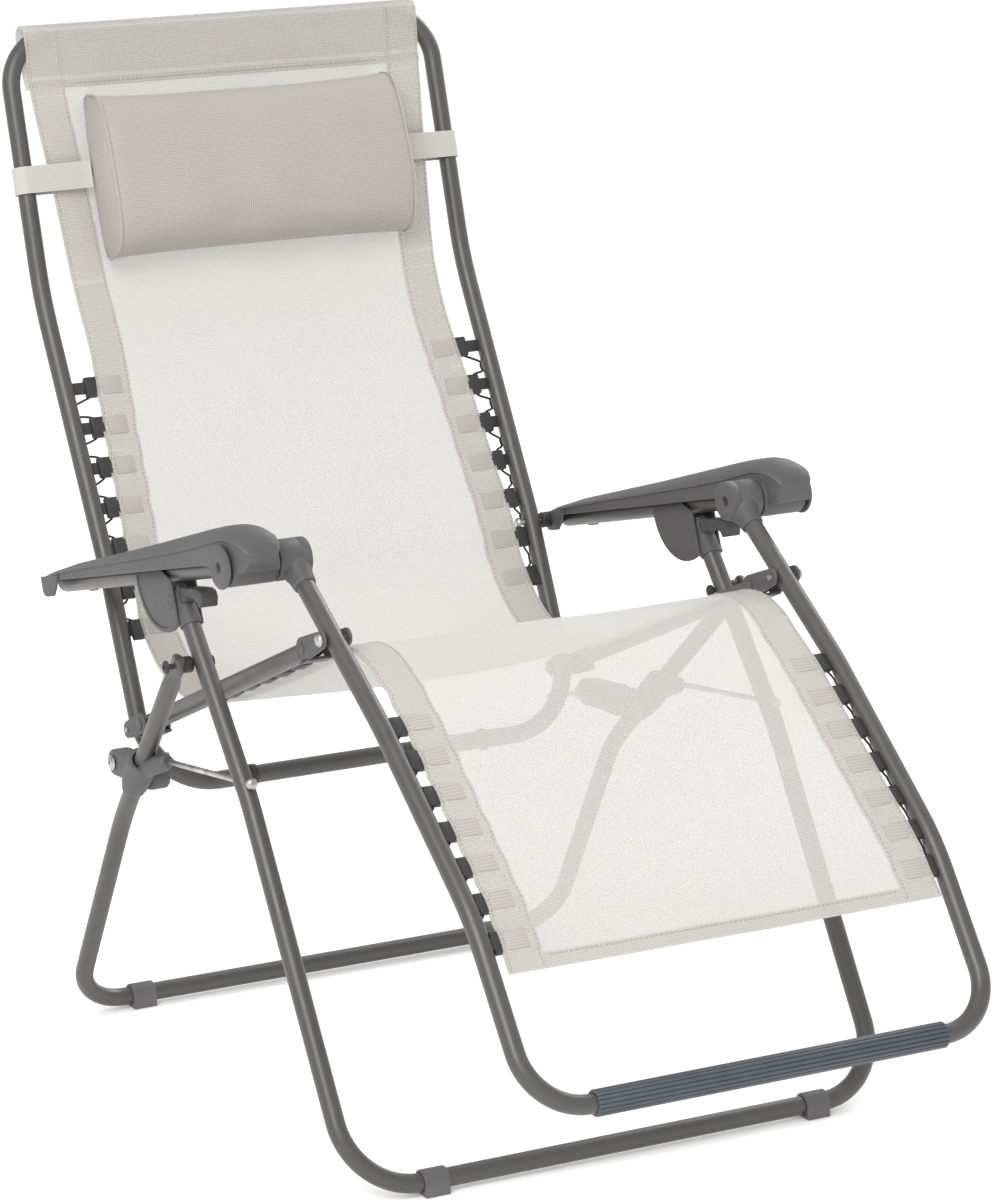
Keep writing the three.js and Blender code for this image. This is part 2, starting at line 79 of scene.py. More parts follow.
def bars_middle():
    """Where the middle of the two floor bars is in the frame."""
    rear, front = box_centre("rear_floor_clip_left"), box_centre("front_floor_clip_left")
    return np.array([(rear[0] + front[0]) / 2, 0.0])


def pivot(joint):
    return np.array(JOINTS[joint]["pos_m"][1:])


BARS_MIDDLE = bars_middle()
LEG_PIVOT = pivot("fold")
GUIDE_PIN = pivot("guide_turn")
BACK_PIVOT = pivot("recline")
ARM_PIVOT = pivot("arm_turn")
RAIL_PIVOT = pivot("rail_turn")
KNEE_PIVOT = pivot("knee_turn")
HUB = box_centre("hub_disc_left")
FOOT_BAR = box_centre("foot_sleeve")
BAR_Z = 0.013
FRONT_BAR = np.array([box_centre("front_floor_clip_left")[0], BAR_Z])
REAR_BAR = np.array([box_centre("rear_floor_clip_left")[0], BAR_Z])
ARM_SLIDE = spot(44, 571.6)
FRONT_LEG_BEND = spot(-126, 365)
REAR_LEG_END = spot(-24, 496)
REAR_LEG_BEND = spot(205, 264)
BACK_LOW_BAR = spot(217.5, 287)
BACK_LOW_BEND = spot(318, 510)
BACK_HIGH_BEND = spot(476, 790)
BACK_TOP_BAR = spot(559, 1068)
LEG_REST_BEND_HIGH = spot(-322, 483)
LEG_REST_BEND_LOW = spot(-505, 335)
ROD_REAR = spot(66, 362)
ROD_FRONT = spot(-133, 385.7)
KNUCKLE_TOP = spot(119, 352)
KNUCKLE_BOTTOM = spot(160, 310)

TUBE_R = 0.010
ARM_TUBE_R = 0.011
HUB_R = 0.021
FRONT_LEG_X = 0.314
REAR_LEG_X = 0.306
REAR_TOP_X = 0.341
SEAT_X = 0.2645
ARM_X = 0.314


def between(start, end, share):
    return start + (end - start) * share


def toward(start, end, distance):
    return between(start, end, distance / np.linalg.norm(end - start))


def at(x, point):
    return np.array([x, point[0], point[1]])


def on_arm(u, v):
    """A point beside the arm tube: u along it from the rear pivot, v square to it and upward."""
    along = (HUB - ARM_PIVOT) / np.linalg.norm(HUB - ARM_PIVOT)
    across = np.array([along[1], -along[0]])
    return ARM_PIVOT + along * u + across * v


# ---------- materials ----------
def srgb(code):
    channels = [int(code[i:i + 2], 16) / 255 for i in (0, 2, 4)]
    return tuple(c / 12.92 if c <= 0.04045 else ((c + 0.055) / 1.055) ** 2.4 for c in channels) + (1.0,)


class Nodes:
    """A short way to build one node material. A colour is given by its code, such as 4d4c4b."""

    def __init__(self, name):
        self.material = bpy.data.materials.new(name)
        self.material.use_nodes = True
        self.tree = self.material.node_tree
        self.tree.nodes.clear()
        self.output = self.tree.nodes.new("ShaderNodeOutputMaterial")
        coordinates = self.add("TexCoord")
        self.place = coordinates.outputs["Object"]
        self.uv = coordinates.outputs["UV"]

    def set(self, node, key, value):
        if isinstance(value, bpy.types.NodeSocket):
            self.tree.links.new(value, node.inputs[key])
        else:
            node.inputs[key].default_value = srgb(value) if isinstance(value, str) else value

    def add(self, kind, **inputs):
        node = self.tree.nodes.new("ShaderNode" + kind)
        for name, value in inputs.items():
            self.set(node, name.replace("_", " "), value)
        return node

    def math(self, operation, a, b):
        node = self.add("Math")
        node.operation = operation
        self.set(node, 0, a)
        self.set(node, 1, b)
        return node.outputs[0]

    def ramp(self, value, low, high, low_value=0.0, high_value=1.0):
        return self.add("MapRange", Value=value, From_Min=low, From_Max=high,
                        To_Min=low_value, To_Max=high_value).outputs["Result"]

    def mix(self, share, a, b):
        node = self.add("Mix")
        node.data_type = "RGBA"
        for index, value in ((0, share), (6, a), (7, b)):
            self.set(node, index, value)
        return node.outputs[2]

    def mix_shader(self, share, a, b):
        node = self.add("MixShader")
        for index, value in enumerate((share, a.outputs[0], b.outputs[0])):
            self.set(node, index, value)
        return node

    def noise(self, vector, scale, detail=3.0):
        return self.add("TexNoise", Scale=scale, Detail=detail, Vector=vector).outputs["Fac"]

    def clouds(self, vector, scale, detail=3.0):
        return self.ramp(self.noise(vector, scale, detail), 0.3, 0.7)

    def worn(self, base, light, share):
        """The base colour with its convex edges rubbed lighter."""
        edges = self.ramp(self.add("NewGeometry").outputs["Pointiness"], 0.53, 0.60)
        return self.mix(self.math("MULTIPLY", edges, share), base, light)

    def surface(self, base, roughness, height, strength, distance, **inputs):
        """A shader with a bump of the given height."""
        bump = self.add("Bump", Strength=strength, Distance=distance, Height=height).outputs["Normal"]
        return self.add("BsdfPrincipled", Base_Color=base, Roughness=roughness, Normal=bump, **inputs)

    def finish(self, shader):
        self.tree.links.new(shader.outputs[0], self.output.inputs["Surface"])
        return self.material


def painted_metal(name, colour, light):
    nodes = Nodes(name)
    mottle = nodes.clouds(nodes.place, 60.0, 4.0)
    orange_peel = nodes.noise(nodes.place, 900.0, 2.0)
    base = nodes.worn(nodes.mix(nodes.math("MULTIPLY", mottle, 0.12), colour, light), light, 0.5)
    roughness = nodes.ramp(mottle, 0.0, 1.0, 0.37, 0.49)
    return nodes.finish(nodes.surface(base, roughness, orange_peel, 0.08, 0.0004, Metallic=0.35,
                                      Coat_Weight=0.25, Coat_Roughness=0.35))


def moulded_plastic(name, colour, light, roughness):
    nodes = Nodes(name)
    cloud = nodes.clouds(nodes.place, 25.0)
    grain = nodes.noise(nodes.place, 2600.0, 1.0)
    base = nodes.worn(nodes.mix(nodes.math("MULTIPLY", cloud, 0.18), colour, light), light, 0.45)
    varied = nodes.ramp(grain, 0.3, 0.7, roughness - 0.06, roughness + 0.08)
    return nodes.finish(nodes.surface(base, varied, grain, 0.25, 0.0003))


def plated_steel(name):
    nodes = Nodes(name)
    stretched = nodes.add("Mapping", Vector=nodes.place, Scale=(40.0, 900.0, 900.0)).outputs[0]
    brushing = nodes.noise(stretched, 1.0)
    tint = nodes.ramp(nodes.noise(nodes.place, 80.0), 0.35, 0.65)
    roughness = nodes.ramp(brushing, 0.3, 0.7, 0.24, 0.42)
    base = nodes.mix(tint, "9c9a96", "c9c7c3")
    return nodes.finish(nodes.surface(base, roughness, brushing, 0.1, 0.0002, Metallic=1.0))


def twisted(name, dark, light, direction, scale, distortion, strength, distance, roughness):
    """Cord or thread, with its twist as fine bands."""
    nodes = Nodes(name)
    wave = nodes.add("TexWave", Scale=scale, Distortion=distortion, Vector=nodes.place)
    wave.bands_direction = direction
    bands = wave.outputs["Fac"]
    base = nodes.mix(bands, dark, light)
    return nodes.finish(nodes.surface(base, roughness, bands, strength, distance))


def woven_mesh(name, light, dark, cover, pitch, through):
    """Coated weave with UVs in metres along the cloth. cover is the share of the view that it stops,
    and through the share of the light that it lets glow through."""
    nodes = Nodes(name)
    split = nodes.add("SeparateXYZ", Vector=nodes.uv)
    # the weave is the product of two waves, one along each diagonal
    turn = 2 * math.pi / pitch * 0.72
    waves = []
    for operation in ("ADD", "SUBTRACT"):
        diagonal = nodes.math(operation, split.outputs[0], split.outputs[1])
        waves.append(nodes.math("SINE", nodes.math("MULTIPLY", diagonal, turn), 0.0))
    weave = nodes.ramp(nodes.math("MULTIPLY", *waves), -0.8, 0.8)
    cloud = nodes.clouds(nodes.uv, 9.0)
    base = nodes.mix(nodes.math("MULTIPLY", cloud, 0.1), nodes.mix(weave, dark, light), dark)
    cloth = nodes.surface(base, 0.72, weave, 0.35, 0.0006, Sheen_Weight=0.15)
    normal = cloth.inputs["Normal"].links[0].from_socket
    solid = nodes.mix_shader(through, cloth, nodes.add("BsdfTranslucent", Color=base, Normal=normal))
    if cover >= 1.0:
        return nodes.finish(solid)
    front = nodes.math("SUBTRACT", 1.0, nodes.add("NewGeometry").outputs["Backfacing"])
    opacity = nodes.ramp(weave, 0.0, 1.0, cover - 0.12, cover + 0.10)
    share = nodes.math("MULTIPLY", front, opacity)
    return nodes.finish(nodes.mix_shader(share, nodes.add("BsdfTransparent"), solid))


def grip(name):
    nodes = Nodes(name)
    base = nodes.worn(nodes.mix(nodes.clouds(nodes.place, 40.0), "2b323a", "39424b"), "5b6570", 0.5)
    return nodes.finish(nodes.surface(base, 0.45, nodes.noise(nodes.place, 1800.0, 1.0), 0.2, 0.0003))


PAINT = painted_metal("frame_paint", "4d4c4b", "6a6867")
PLASTIC = moulded_plastic("grey_moulding", "4e4d4e", "6b696b", 0.55)
DARK = moulded_plastic("dark_moulding", "232324", "3d3d3e", 0.5)
LEVER = moulded_plastic("lever_moulding", "3b3a3b", "575557", 0.5)
STEEL = plated_steel("zinc_steel")
CORD = twisted("elastic_cord", "1b1b1c", "343436", "DIAGONAL", 420.0, 1.5, 0.4, 0.0005, 0.8)
THREAD = twisted("sewing_thread", "8f8b82", "bcb8af", "X", 1500.0, 0.5, 0.3, 0.0002, 0.7)
GRIP = grip("ribbed_grip")
MESH = woven_mesh("sling_mesh", "d2d0cc", "bcbab5", 0.87, 0.0030, 0.35)
HEM = woven_mesh("hem_mesh", "d9d6cf", "c1bdb4", 0.88, 0.0034, 0.35)
STRAP = woven_mesh("strap_mesh", "d0cdc6", "b4b1a9", 1.0, 0.0026, 0.1)
PILLOW = woven_mesh("pillow_mesh", "bfb9b1", "99948c", 1.0, 0.0036, 0.08)
GUSSET = woven_mesh("gusset_mesh", "bdbab1", "9b988f", 1.0, 0.0036, 0.1)
# darker than the hem: painted shade, the shadows of the clip tongues seen through the hem
PAINTED_CLIP_SHADE = woven_mesh("painted_clip_shade_mesh", "c6c2ba", "aca89f", 1.0, 0.0034, 0.15)


# ---------- mesh building ----------
ARC_STEP = math.radians(5)
SHARP_ANGLE = math.radians(30)


class Piece:
    """One visible piece, collected from closed parts."""

    def __init__(self, *parts):
        self.verts, self.faces, self.uvs = [], [], []
        for part in parts:
            self.add(*part)

    def add(self, verts, faces, uvs=None):
        base = len(self.verts)
        self.verts += [tuple(v) for v in verts]
        self.faces += [tuple(base + i for i in face) for face in faces]
        self.uvs += list(uvs) if uvs is not None else [(v[0], v[2]) for v in verts]

    def build(self, name, material, body, slot, replaces=(), sharp=38.0):
        """The Blender object; body is None for a piece that rides later or not at all."""
        mesh = bpy.data.meshes.new(name)
        mesh.from_pydata(self.verts, [], self.faces)
        layer = mesh.uv_layers.new(name="cloth")
        loops = np.zeros(len(mesh.loops), np.int32)
        mesh.loops.foreach_get("vertex_index", loops)
        layer.data.foreach_set("uv", np.array(self.uvs, np.float32)[loops].ravel())
        outward(mesh)
        mesh.materials.append(material)
        mesh.shade_smooth()
        mesh.set_sharp_from_angle(angle=math.radians(sharp))
        piece = linked(name, mesh)
        if body:
            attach(piece, body)
        if replaces:
            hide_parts(*replaces)
        return piece


def linked(name, data):
    """A new object in the scene."""
    made = bpy.data.objects.new(name, data)
    bpy.context.scene.collection.objects.link(made)
    return made


def outward(mesh):
    shape = bmesh.new()
    shape.from_mesh(mesh)
    bmesh.ops.recalc_face_normals(shape, faces=shape.faces)
    shape.to_mesh(mesh)
    shape.free()


def points_and_faces(shape):
    """What a bmesh holds, as lists. The bmesh is freed."""
    shape.verts.index_update()
    verts = [tuple(v.co) for v in shape.verts]
    faces = [tuple(v.index for v in face.verts) for face in shape.faces]
    shape.free()
    return verts, faces


def unit(v):
    return v / np.linalg.norm(v)


def corner_arc(before, corner, after, radius):
    """The points of one rounded corner, as an arc tangent to both straights."""
    back, ahead = unit(before - corner), unit(after - corner)
    half = math.acos(np.clip(back @ ahead, -1, 1)) / 2
    turn = math.pi - 2 * half
    centre = corner + unit(back + ahead) * radius / math.sin(half)
    first = corner + back * radius / math.tan(half) - centre
    last = corner + ahead * radius / math.tan(half) - centre
    steps = max(3, math.ceil(turn / ARC_STEP))
    side = unit(last - first * (first @ last) / (first @ first)) * np.linalg.norm(first)
    angles = [turn * i / steps for i in range(steps + 1)]
    return [centre + first * math.cos(a) + side * math.sin(a) for a in angles]


def rounded(corners):
    """corners is a list of (point, radius); a corner with no radius stays sharp."""
    points = []
    for i, (point, radius) in enumerate(corners):
        if radius:
            points += corner_arc(corners[i - 1][0], point, corners[(i + 1) % len(corners)][0], radius)
        else:
            points.append(point)
    return np.array(points)


def distances(path):
    """The distance along a path of each of its points."""
    return np.concatenate([[0], np.cumsum(np.linalg.norm(np.diff(path, axis=0), axis=1))])


def resample(path, spacing):
    """Evenly spaced points along an open path, with both ends kept."""
    lengths = distances(path)
    stations = np.linspace(0, lengths[-1], max(2, round(lengths[-1] / spacing) + 1))
    return np.stack([np.interp(stations, lengths, path[:, k]) for k in range(path.shape[1])], axis=1)


def smooth_curve(points, samples):
    """A Catmull-Rom curve through the points."""
    points = np.array(points)
    ends = np.vstack([2 * points[0] - points[1], points, 2 * points[-1] - points[-2]])
    curve = []
    for i in range(1, len(ends) - 2):
        p0, p1, p2, p3 = ends[i - 1:i + 3]
        for k in range(samples):
            t = k / samples
            curve.append(0.5 * (2 * p1 + (p2 - p0) * t + (2 * p0 - 5 * p1 + 4 * p2 - p3) * t ** 2
                                + (3 * p1 - p0 - 3 * p2 + p3) * t ** 3))
    return np.array(curve + [points[-1]])


def path_frames(path, closed):
    """Tangent and two cross directions at each point; the first cross direction starts along X."""
    if closed:
        ahead = np.roll(path, -1, axis=0) - path
        behind = path - np.roll(path, 1, axis=0)
    else:
        steps = np.diff(path, axis=0)
        ahead = np.vstack([steps, steps[-1]])
        behind = np.vstack([steps[0], steps])
    tangents = [unit(unit(a) + unit(b)) for a, b in zip(ahead, behind)]
    guide = np.array([1.0, 0, 0]) if abs(tangents[0][0]) < 0.9 else np.array([0, 0, 1.0])
    normals = []
    for tangent in tangents:
        guide = unit(guide - tangent * (guide @ tangent))
        normals.append(guide)
    if closed:
        back = unit(guide - tangents[0] * (guide @ tangents[0]))
        twist = math.atan2(np.cross(back, normals[0]) @ tangents[0], back @ normals[0])
        for i, tangent in enumerate(tangents):
            a = twist * i / len(tangents)
            normals[i] = normals[i] * math.cos(a) + np.cross(tangent, normals[i]) * math.sin(a)
    sides = [np.cross(t, n) for t, n in zip(tangents, normals)]
    return tangents, normals, sides


def bridge(rings, count, closed):
    """The faces between rings of count points; closed joins the last ring to the first."""
    pairs = [(i, (i + 1) % rings) for i in range(rings if closed else rings - 1)]
    return [(i * count + k, i * count + (k + 1) % count, j * count + (k + 1) % count, j * count + k)
            for i, j in pairs for k in range(count)]


def fan(verts, faces, start, count, tip):
    """Closes the ring of points that begins at start onto a tip."""
    verts.append(tip)
    faces += [(start + k, start + (k + 1) % count, len(verts) - 1) for k in range(count)]


def domed(ring, sign, dome):
    """Two smaller rings past the end of a bar, the smallest last."""
    centre, (rx, rn), tangent, normal, across = ring
    return [(centre + sign * tangent * dome * reach, (rx * share, rn * share), tangent, normal, across)
            for share, reach in ((0.93, 0.45), (0.72, 0.85))]


def swept(path, radius, sides=24, closed=False, dome=0.0015):
    """A round bar along a path. radius is one number, or one (rx, rn) pair for each point."""
    path = np.array(path)
    radii = [(radius, radius)] * len(path) if np.isscalar(radius) else radius
    rings = [(path[i], radii[i], *turns) for i, turns in enumerate(zip(*path_frames(path, closed)))]
    if not closed:
        rings = domed(rings[0], -1, dome)[::-1] + rings + domed(rings[-1], 1, dome)
    angles = np.linspace(0, 2 * math.pi, sides, endpoint=False)
    verts = [centre + normal * rx * math.cos(a) + across * rn * math.sin(a)
             for centre, (rx, rn), _, normal, across in rings for a in angles]
    faces = bridge(len(rings), sides, closed)
    if not closed:
        for (centre, _, tangent, _, _), start, sign in ((rings[0], 0, -1), (rings[-1], len(rings) - 1, 1)):
            fan(verts, faces, start * sides, sides, centre + sign * tangent * dome * 0.15)
    return verts, faces


def turned(origin, axis, profile, segments=40):
    """A turned part. profile is (distance along the axis, radius), in millimetres; a profile that starts
    and ends on the axis is closed there, and any other profile closes on itself as a ring."""
    axis = unit(np.array(axis, float))
    guide = np.array([0, 0, 1.0]) if abs(axis[2]) < 0.9 else np.array([0, 1.0, 0])
    side = unit(guide - axis * (guide @ axis))
    other = np.cross(axis, side)
    angles = np.linspace(0, 2 * math.pi, segments, endpoint=False)
    solid = profile[0][1] == 0
    profile = np.array(profile) * MM
    rings = profile[1:-1] if solid else profile
    verts = [origin + axis * d + (side * math.cos(a) + other * math.sin(a)) * r
             for d, r in rings for a in angles]
    faces = bridge(len(rings), segments, not solid)
    if solid:
        for end, start in ((0, 0), (-1, len(rings) - 1)):
            fan(verts, faces, start * segments, segments, origin + axis * profile[end][0])
    return verts, faces


def turned_x(side, point, profile, segments=40):
    """A turned part across the chair; its distances are from the centre plane."""
    return turned(at(0, point), (side, 0, 0), profile, segments)


def turned_piece(side, tag, name, point, material, body, slot, node, profiles):
    """A piece whose parts turn about one line across the chair; a profile comes with its segments."""
    parts = [turned_x(side, point, profile, segments) for profile, segments in profiles]
    Piece(*parts).build(f"{name}_{tag}", material, body, slot, [f"{node}_{tag}"] if node else ())


def disc(near, far, r, e=0.8):
    """The profile of a turned disc with eased edges."""
    return [(near, 0), (near, r - e), (near + 0.3 * e, r - 0.3 * e), (near + e, r),
            (far - e, r), (far - 0.3 * e, r - 0.3 * e), (far, r - e), (far, 0)]


def prism(side, near, far, outline, ease):
    """A side-view outline with thickness across the chair, in millimetres, with eased edges."""
    shape = bmesh.new()
    rings = [[shape.verts.new(at(side * x * MM, p)) for p in outline] for x in (near, far)]
    for ring in rings:
        shape.faces.new(ring)
    count = len(outline)
    for k in range(count):
        m = (k + 1) % count
        shape.faces.new((rings[0][k], rings[0][m], rings[1][m], rings[1][k]))
    bmesh.ops.recalc_face_normals(shape, faces=shape.faces)
    sharp = [edge for edge in shape.edges if edge.calc_face_angle(0) > SHARP_ANGLE]
    bmesh.ops.bevel(shape, geom=sharp, offset=ease * MM, offset_type="OFFSET", segments=3,
                    profile=0.5, affect="EDGES", clamp_overlap=True)
    return points_and_faces(shape)


def arc(centre, radius, start, end, steps):
    angles = np.linspace(start, end, steps + 1)
    return [centre + radius * np.array([math.cos(a), math.sin(a)]) for a in angles]


def capsule(start, end, r0, r1, steps=12):
    """A bar with round ends of radii r0 and r1, in metres."""
    d = end - start
    angle = math.atan2(d[1], d[0])
    lean = math.asin(np.clip((r0 - r1) / np.linalg.norm(d), -1, 1))
    return (arc(end, r1, angle - math.pi / 2 + lean, angle + math.pi / 2 - lean, steps)
            + arc(start, r0, angle + math.pi / 2 - lean, angle + 1.5 * math.pi + lean, steps))


def ring_prism(side, near, far, outer, inner, ease):
    """A hollow prism between two outlines with the same number of points, as one closed ring."""
    middle = np.mean(inner, axis=0)
    small = [middle + (p - middle) * (1 - ease * MM / np.linalg.norm(p - middle)) for p in outer]
    layers = [(near, small), (near + ease, outer), (far - ease, outer), (far, small),
              (far, inner), (near, inner)]
    verts = [at(side * x * MM, p) for x, ring in layers for p in ring]
    return verts, bridge(len(layers), len(outer), True)


# ---------- tubes ----------
def whole_path(x, *corners):
    """A frame tube's rounded path, from the side-view points and bend radii of its left half."""
    left = [(at(-x, point), radius) for point, radius in corners]
    return left_and_right(left)


def left_and_right(left):
    flip = np.array([-1.0, 1, 1])
    return rounded(left + [(point * flip, radius) for point, radius in reversed(left)])


def front_leg_frame():
    path = whole_path(FRONT_LEG_X, (toward(ARM_SLIDE, FRONT_LEG_BEND, 0.021), 0), (FRONT_LEG_BEND, 0.160),
                      (FRONT_BAR, 0.075))
    Piece(swept(path, TUBE_R)).build("front_leg_tube", PAINT, "front_legs", "frame", ["front_leg_frame"])


FLAT_END = 0.022
FLAT_EASE = 0.03


def paddle_radii(path):
    """The rear leg's upper ends are pressed flat and rounded round their pivot bolts."""
    lengths = distances(path)
    radii = []
    for distance in np.minimum(lengths, lengths[-1] - lengths):
        flat = 1 - np.clip((distance - FLAT_END) / FLAT_EASE, 0, 1)
        flat = flat * flat * (3 - 2 * flat)
        width = TUBE_R + 0.0016 * flat
        if distance < width:
            width = math.sqrt(max(width ** 2 - (width - distance) ** 2, 1e-7)) + 0.0008
        radii.append((TUBE_R - 0.0045 * flat, width))
    return radii


def rear_leg_frame():
    path = left_and_right([(at(-REAR_TOP_X, REAR_LEG_END), 0), (at(-REAR_LEG_X, REAR_LEG_BEND), 0.200),
                           (at(-REAR_LEG_X, REAR_BAR), 0.060)])
    fine = [0, 0.001, 0.0025, 0.005, 0.008, 0.0115, 0.016, 0.022, 0.028, 0.034, 0.040, 0.046, 0.052]
    head = [path[0] + unit(path[1] - path[0]) * d for d in fine]
    tail = [path[-1] + unit(path[-2] - path[-1]) * d for d in reversed(fine)]
    path = np.array(head + list(path[1:-1]) + tail)
    Piece(swept(path, paddle_radii(path), dome=0.0006)).build(
        "rear_leg_tube", PAINT, "rear_legs", "frame", ["rear_leg_frame"])


def back_frame():
    path = whole_path(SEAT_X, (BACK_LOW_BAR, 0.080), (BACK_LOW_BEND, 0.200), (BACK_HIGH_BEND, 0.300),
                      (BACK_TOP_BAR, 0.060))
    Piece(swept(path, TUBE_R, closed=True)).build("back_tube", PAINT, "back", "frame", ["back_frame"])
    ring = [(140, 9.8), (140, 11.2), (141, 12), (147, 12), (148, 11.2), (148, 9.8)]
    rings = [turned_x(side, BACK_LOW_BAR, ring, 32) for side in TAGS]
    Piece(*rings).build("back_bar_rings", DARK, "back", "dark_plastic")


def leg_rest_frame():
    path = whole_path(SEAT_X, (toward(HUB, LEG_REST_BEND_HIGH, HUB_R + 0.0015), 0),
                      (LEG_REST_BEND_HIGH, 0.300), (LEG_REST_BEND_LOW, 0.260), (FOOT_BAR, 0.062))
    Piece(swept(path, TUBE_R)).build("leg_rest_tube", PAINT, "leg_rest", "frame", ["leg_rest_frame"])


def seat_rail(side, tag):
    ends = [at(side * SEAT_X, toward(RAIL_PIVOT, KNEE_PIVOT, 0.034)),
            at(side * SEAT_X, toward(KNEE_PIVOT, RAIL_PIVOT, 0.044))]
    Piece(swept(ends, TUBE_R)).build(f"seat_rail_tube_{tag}", PAINT, "seat", "frame", [f"seat_rail_{tag}"])


def foot_sleeve():
    ribs, points = 18, 144
    angles = [2 * math.pi * i / points for i in range(points)]
    around = [np.array([math.cos(a), math.sin(a)]) for a in angles]
    outer = [FOOT_BAR + d * (0.0122 + 0.0012 * abs(math.cos(ribs * a / 2)) ** 0.6)
             for a, d in zip(angles, around)]
    inner = [FOOT_BAR + d * (TUBE_R + 0.0005) for d in around]
    Piece(ring_prism(RIGHT, -200, 200, outer, inner, 1.2)).build(
        "foot_grip", GRIP, "leg_rest", "sleeve", ["foot_sleeve"], sharp=50)


# ---------- base hardware ----------
def floor_clip(side, tag, end, bar, body):
    r = 0.013
    outer = arc(bar, r, 0, math.pi, 20)
    outer += [np.array([bar[0] - r, 0.0]) + np.array([2 * r * i / 8, 0]) for i in range(9)]
    inner = [bar + unit(point - bar) * (TUBE_R + 0.0004) for point in outer]
    Piece(ring_prism(side, 212, 240, outer, inner, 0.9)).build(
        f"{end}_foot_clip_{tag}", PLASTIC, body, "plastic", [f"{end}_floor_clip_{tag}"])


def leg_pivot_bolt(side, tag):
    nut = [(351.6, 0), (351.6, 7), (352.6, 7.2), (354, 6.4), (355, 4.4), (355, 2.2), (353.4, 2), (353.4, 0)]
    turned_piece(side, tag, "leg_bolt", LEG_PIVOT, DARK, "front_legs", "dark_plastic", "leg_pivot_bolt", [
        (disc(299, 352, 3, 0.3), 24), (nut, 32), (disc(324.4, 335.3, 8.6), 36),
        (disc(299.4, 303.6, 6.5), 32)])


def rear_leg_at(side, point):
    share = (REAR_LEG_BEND[0] - point[0]) / (REAR_LEG_BEND[0] - REAR_LEG_END[0])
    return at(side * (REAR_LEG_X + (REAR_TOP_X - REAR_LEG_X) * share), point)


def knuckle(side, tag):
    top = rear_leg_at(side, KNUCKLE_TOP)
    bottom = rear_leg_at(side, KNUCKLE_BOTTOM)
    length = np.linalg.norm(bottom - top) / MM
    sleeve = [(0, 12.2), (0, 15.4), (1.2, 16.8), (4, 17.2), (9, 16.6), (20, 16.9), (34, 16.4),
              (46, 15.2), (length - 5, 13.6), (length - 1, 12.8), (length, 12.0), (length, 10.6),
              (6, 10.6), (5, 12.2)]
    root = between(KNUCKLE_TOP, KNUCKLE_BOTTOM, 0.62)
    arm = capsule(root, BACK_PIVOT, 0.0155, 0.0145)
    bulge = capsule(between(root, BACK_PIVOT, 0.25), between(root, BACK_PIVOT, 0.72), 0.0175, 0.0152)
    nose_root = rear_leg_at(side, between(KNUCKLE_TOP, KNUCKLE_BOTTOM, 0.3))
    nose_tip = at(side * ARM_X, toward(ROD_REAR, ROD_FRONT, -0.004))
    reach = np.linalg.norm(nose_tip - nose_root) / MM
    nose = [(0, 0), (0, 10), (12, 11), (reach - 12, 10.2), (reach - 4, 8.6), (reach - 1, 7.0),
            (reach, 5.0), (reach, 0)]
    Piece(turned(top, bottom - top, sleeve, 48), prism(side, 282.2, 303.8, arm, 3.2),
          prism(side, 284.5, 301.5, bulge, 2.5), turned(nose_root, nose_tip - nose_root, nose, 32)).build(
        f"knuckle_shell_{tag}", PLASTIC, "rear_legs", "plastic", [f"knuckle_{tag}"])


def tension_rod(side, tag):
    front = at(side * ARM_X, ROD_FRONT)
    rear = at(side * ARM_X, toward(ROD_REAR, ROD_FRONT, -0.009))
    head = [(-5, 0), (-5, 4.6), (-4.4, 5.6), (-3, 6), (-1, 6), (0.4, 5.2), (1.4, 3.6), (2, 1.6), (2, 0)]
    Piece(swept([rear, front], 0.003, 16), turned(front, front - rear, head, 28)).build(
        f"rod_{tag}", STEEL, "tension_rods", "steel", [f"tension_rod_{tag}"])


def back_pivot_bolt(side, tag):
    head = [(304.6, 0), (304.6, 8), (305.4, 8.3), (307, 7), (308, 4.6), (308, 2.2), (306.6, 2), (306.6, 0)]
    turned_piece(side, tag, "back_bolt", BACK_PIVOT, STEEL, "rear_legs", "steel", "back_pivot_bolt", [
        (disc(237, 306, 3, 0.3), 24), (head, 32), (disc(275.2, 281.5, 7, 0.6), 32), (disc(250, 254, 6.4), 6)])


def rail_pivot_bolt(side, tag):
    head = [(243, 0), (243, 3.4), (244, 5.4), (246, 6.2), (247.6, 6.2), (247.6, 0)]
    turned_piece(side, tag, "rail_bolt", RAIL_PIVOT, STEEL, "back", "steel", "rail_pivot_bolt", [
        (disc(243.5, 281.4, 3, 0.3), 24), (head, 28)])


def knee_pin(side, tag):
    head = [(280.2, 0), (280.2, 6.8), (281.4, 7), (283.4, 6), (284.8, 3.6), (285, 0)]
    turned_piece(side, tag, "knee_rivet", KNEE_PIVOT, STEEL, "seat", "steel", "knee_pin", [
        (disc(245, 283, 3, 0.3), 24), (head, 32)])


def rail_fork(side, tag, end, hinge, other, reach):
    """Two cheeks that straddle a frame tube, over a cradle under the seat rail's end."""
    tip = toward(hinge, other, reach)
    along = unit(other - hinge)
    below = np.array([along[1], -along[0]])
    below = below if below[1] < 0 else -below
    cheek = capsule(hinge, tip + below * 0.001, 0.0092, 0.0128, 14)
    cradle = [tip + along * a + below * b
              for a, b in ((-0.010, 0.011), (0.011, 0.011), (0.011, 0.0142), (-0.010, 0.0142))]
    parts = [prism(side, near, near + 3, cheek, 0.7) for near in (248.2, 276.7)]
    parts.append(prism(side, 248.2, 279.7, cradle, 0.7))
    parts += [turned_x(side, tip, disc(near, near + 1.6, 6.2, 0.6), 28) for near in (279.4, 246.9)]
    Piece(*parts).build(f"{end}_fork_{tag}", PLASTIC, "seat", "plastic", [f"{end}_rail_fork_{tag}"])


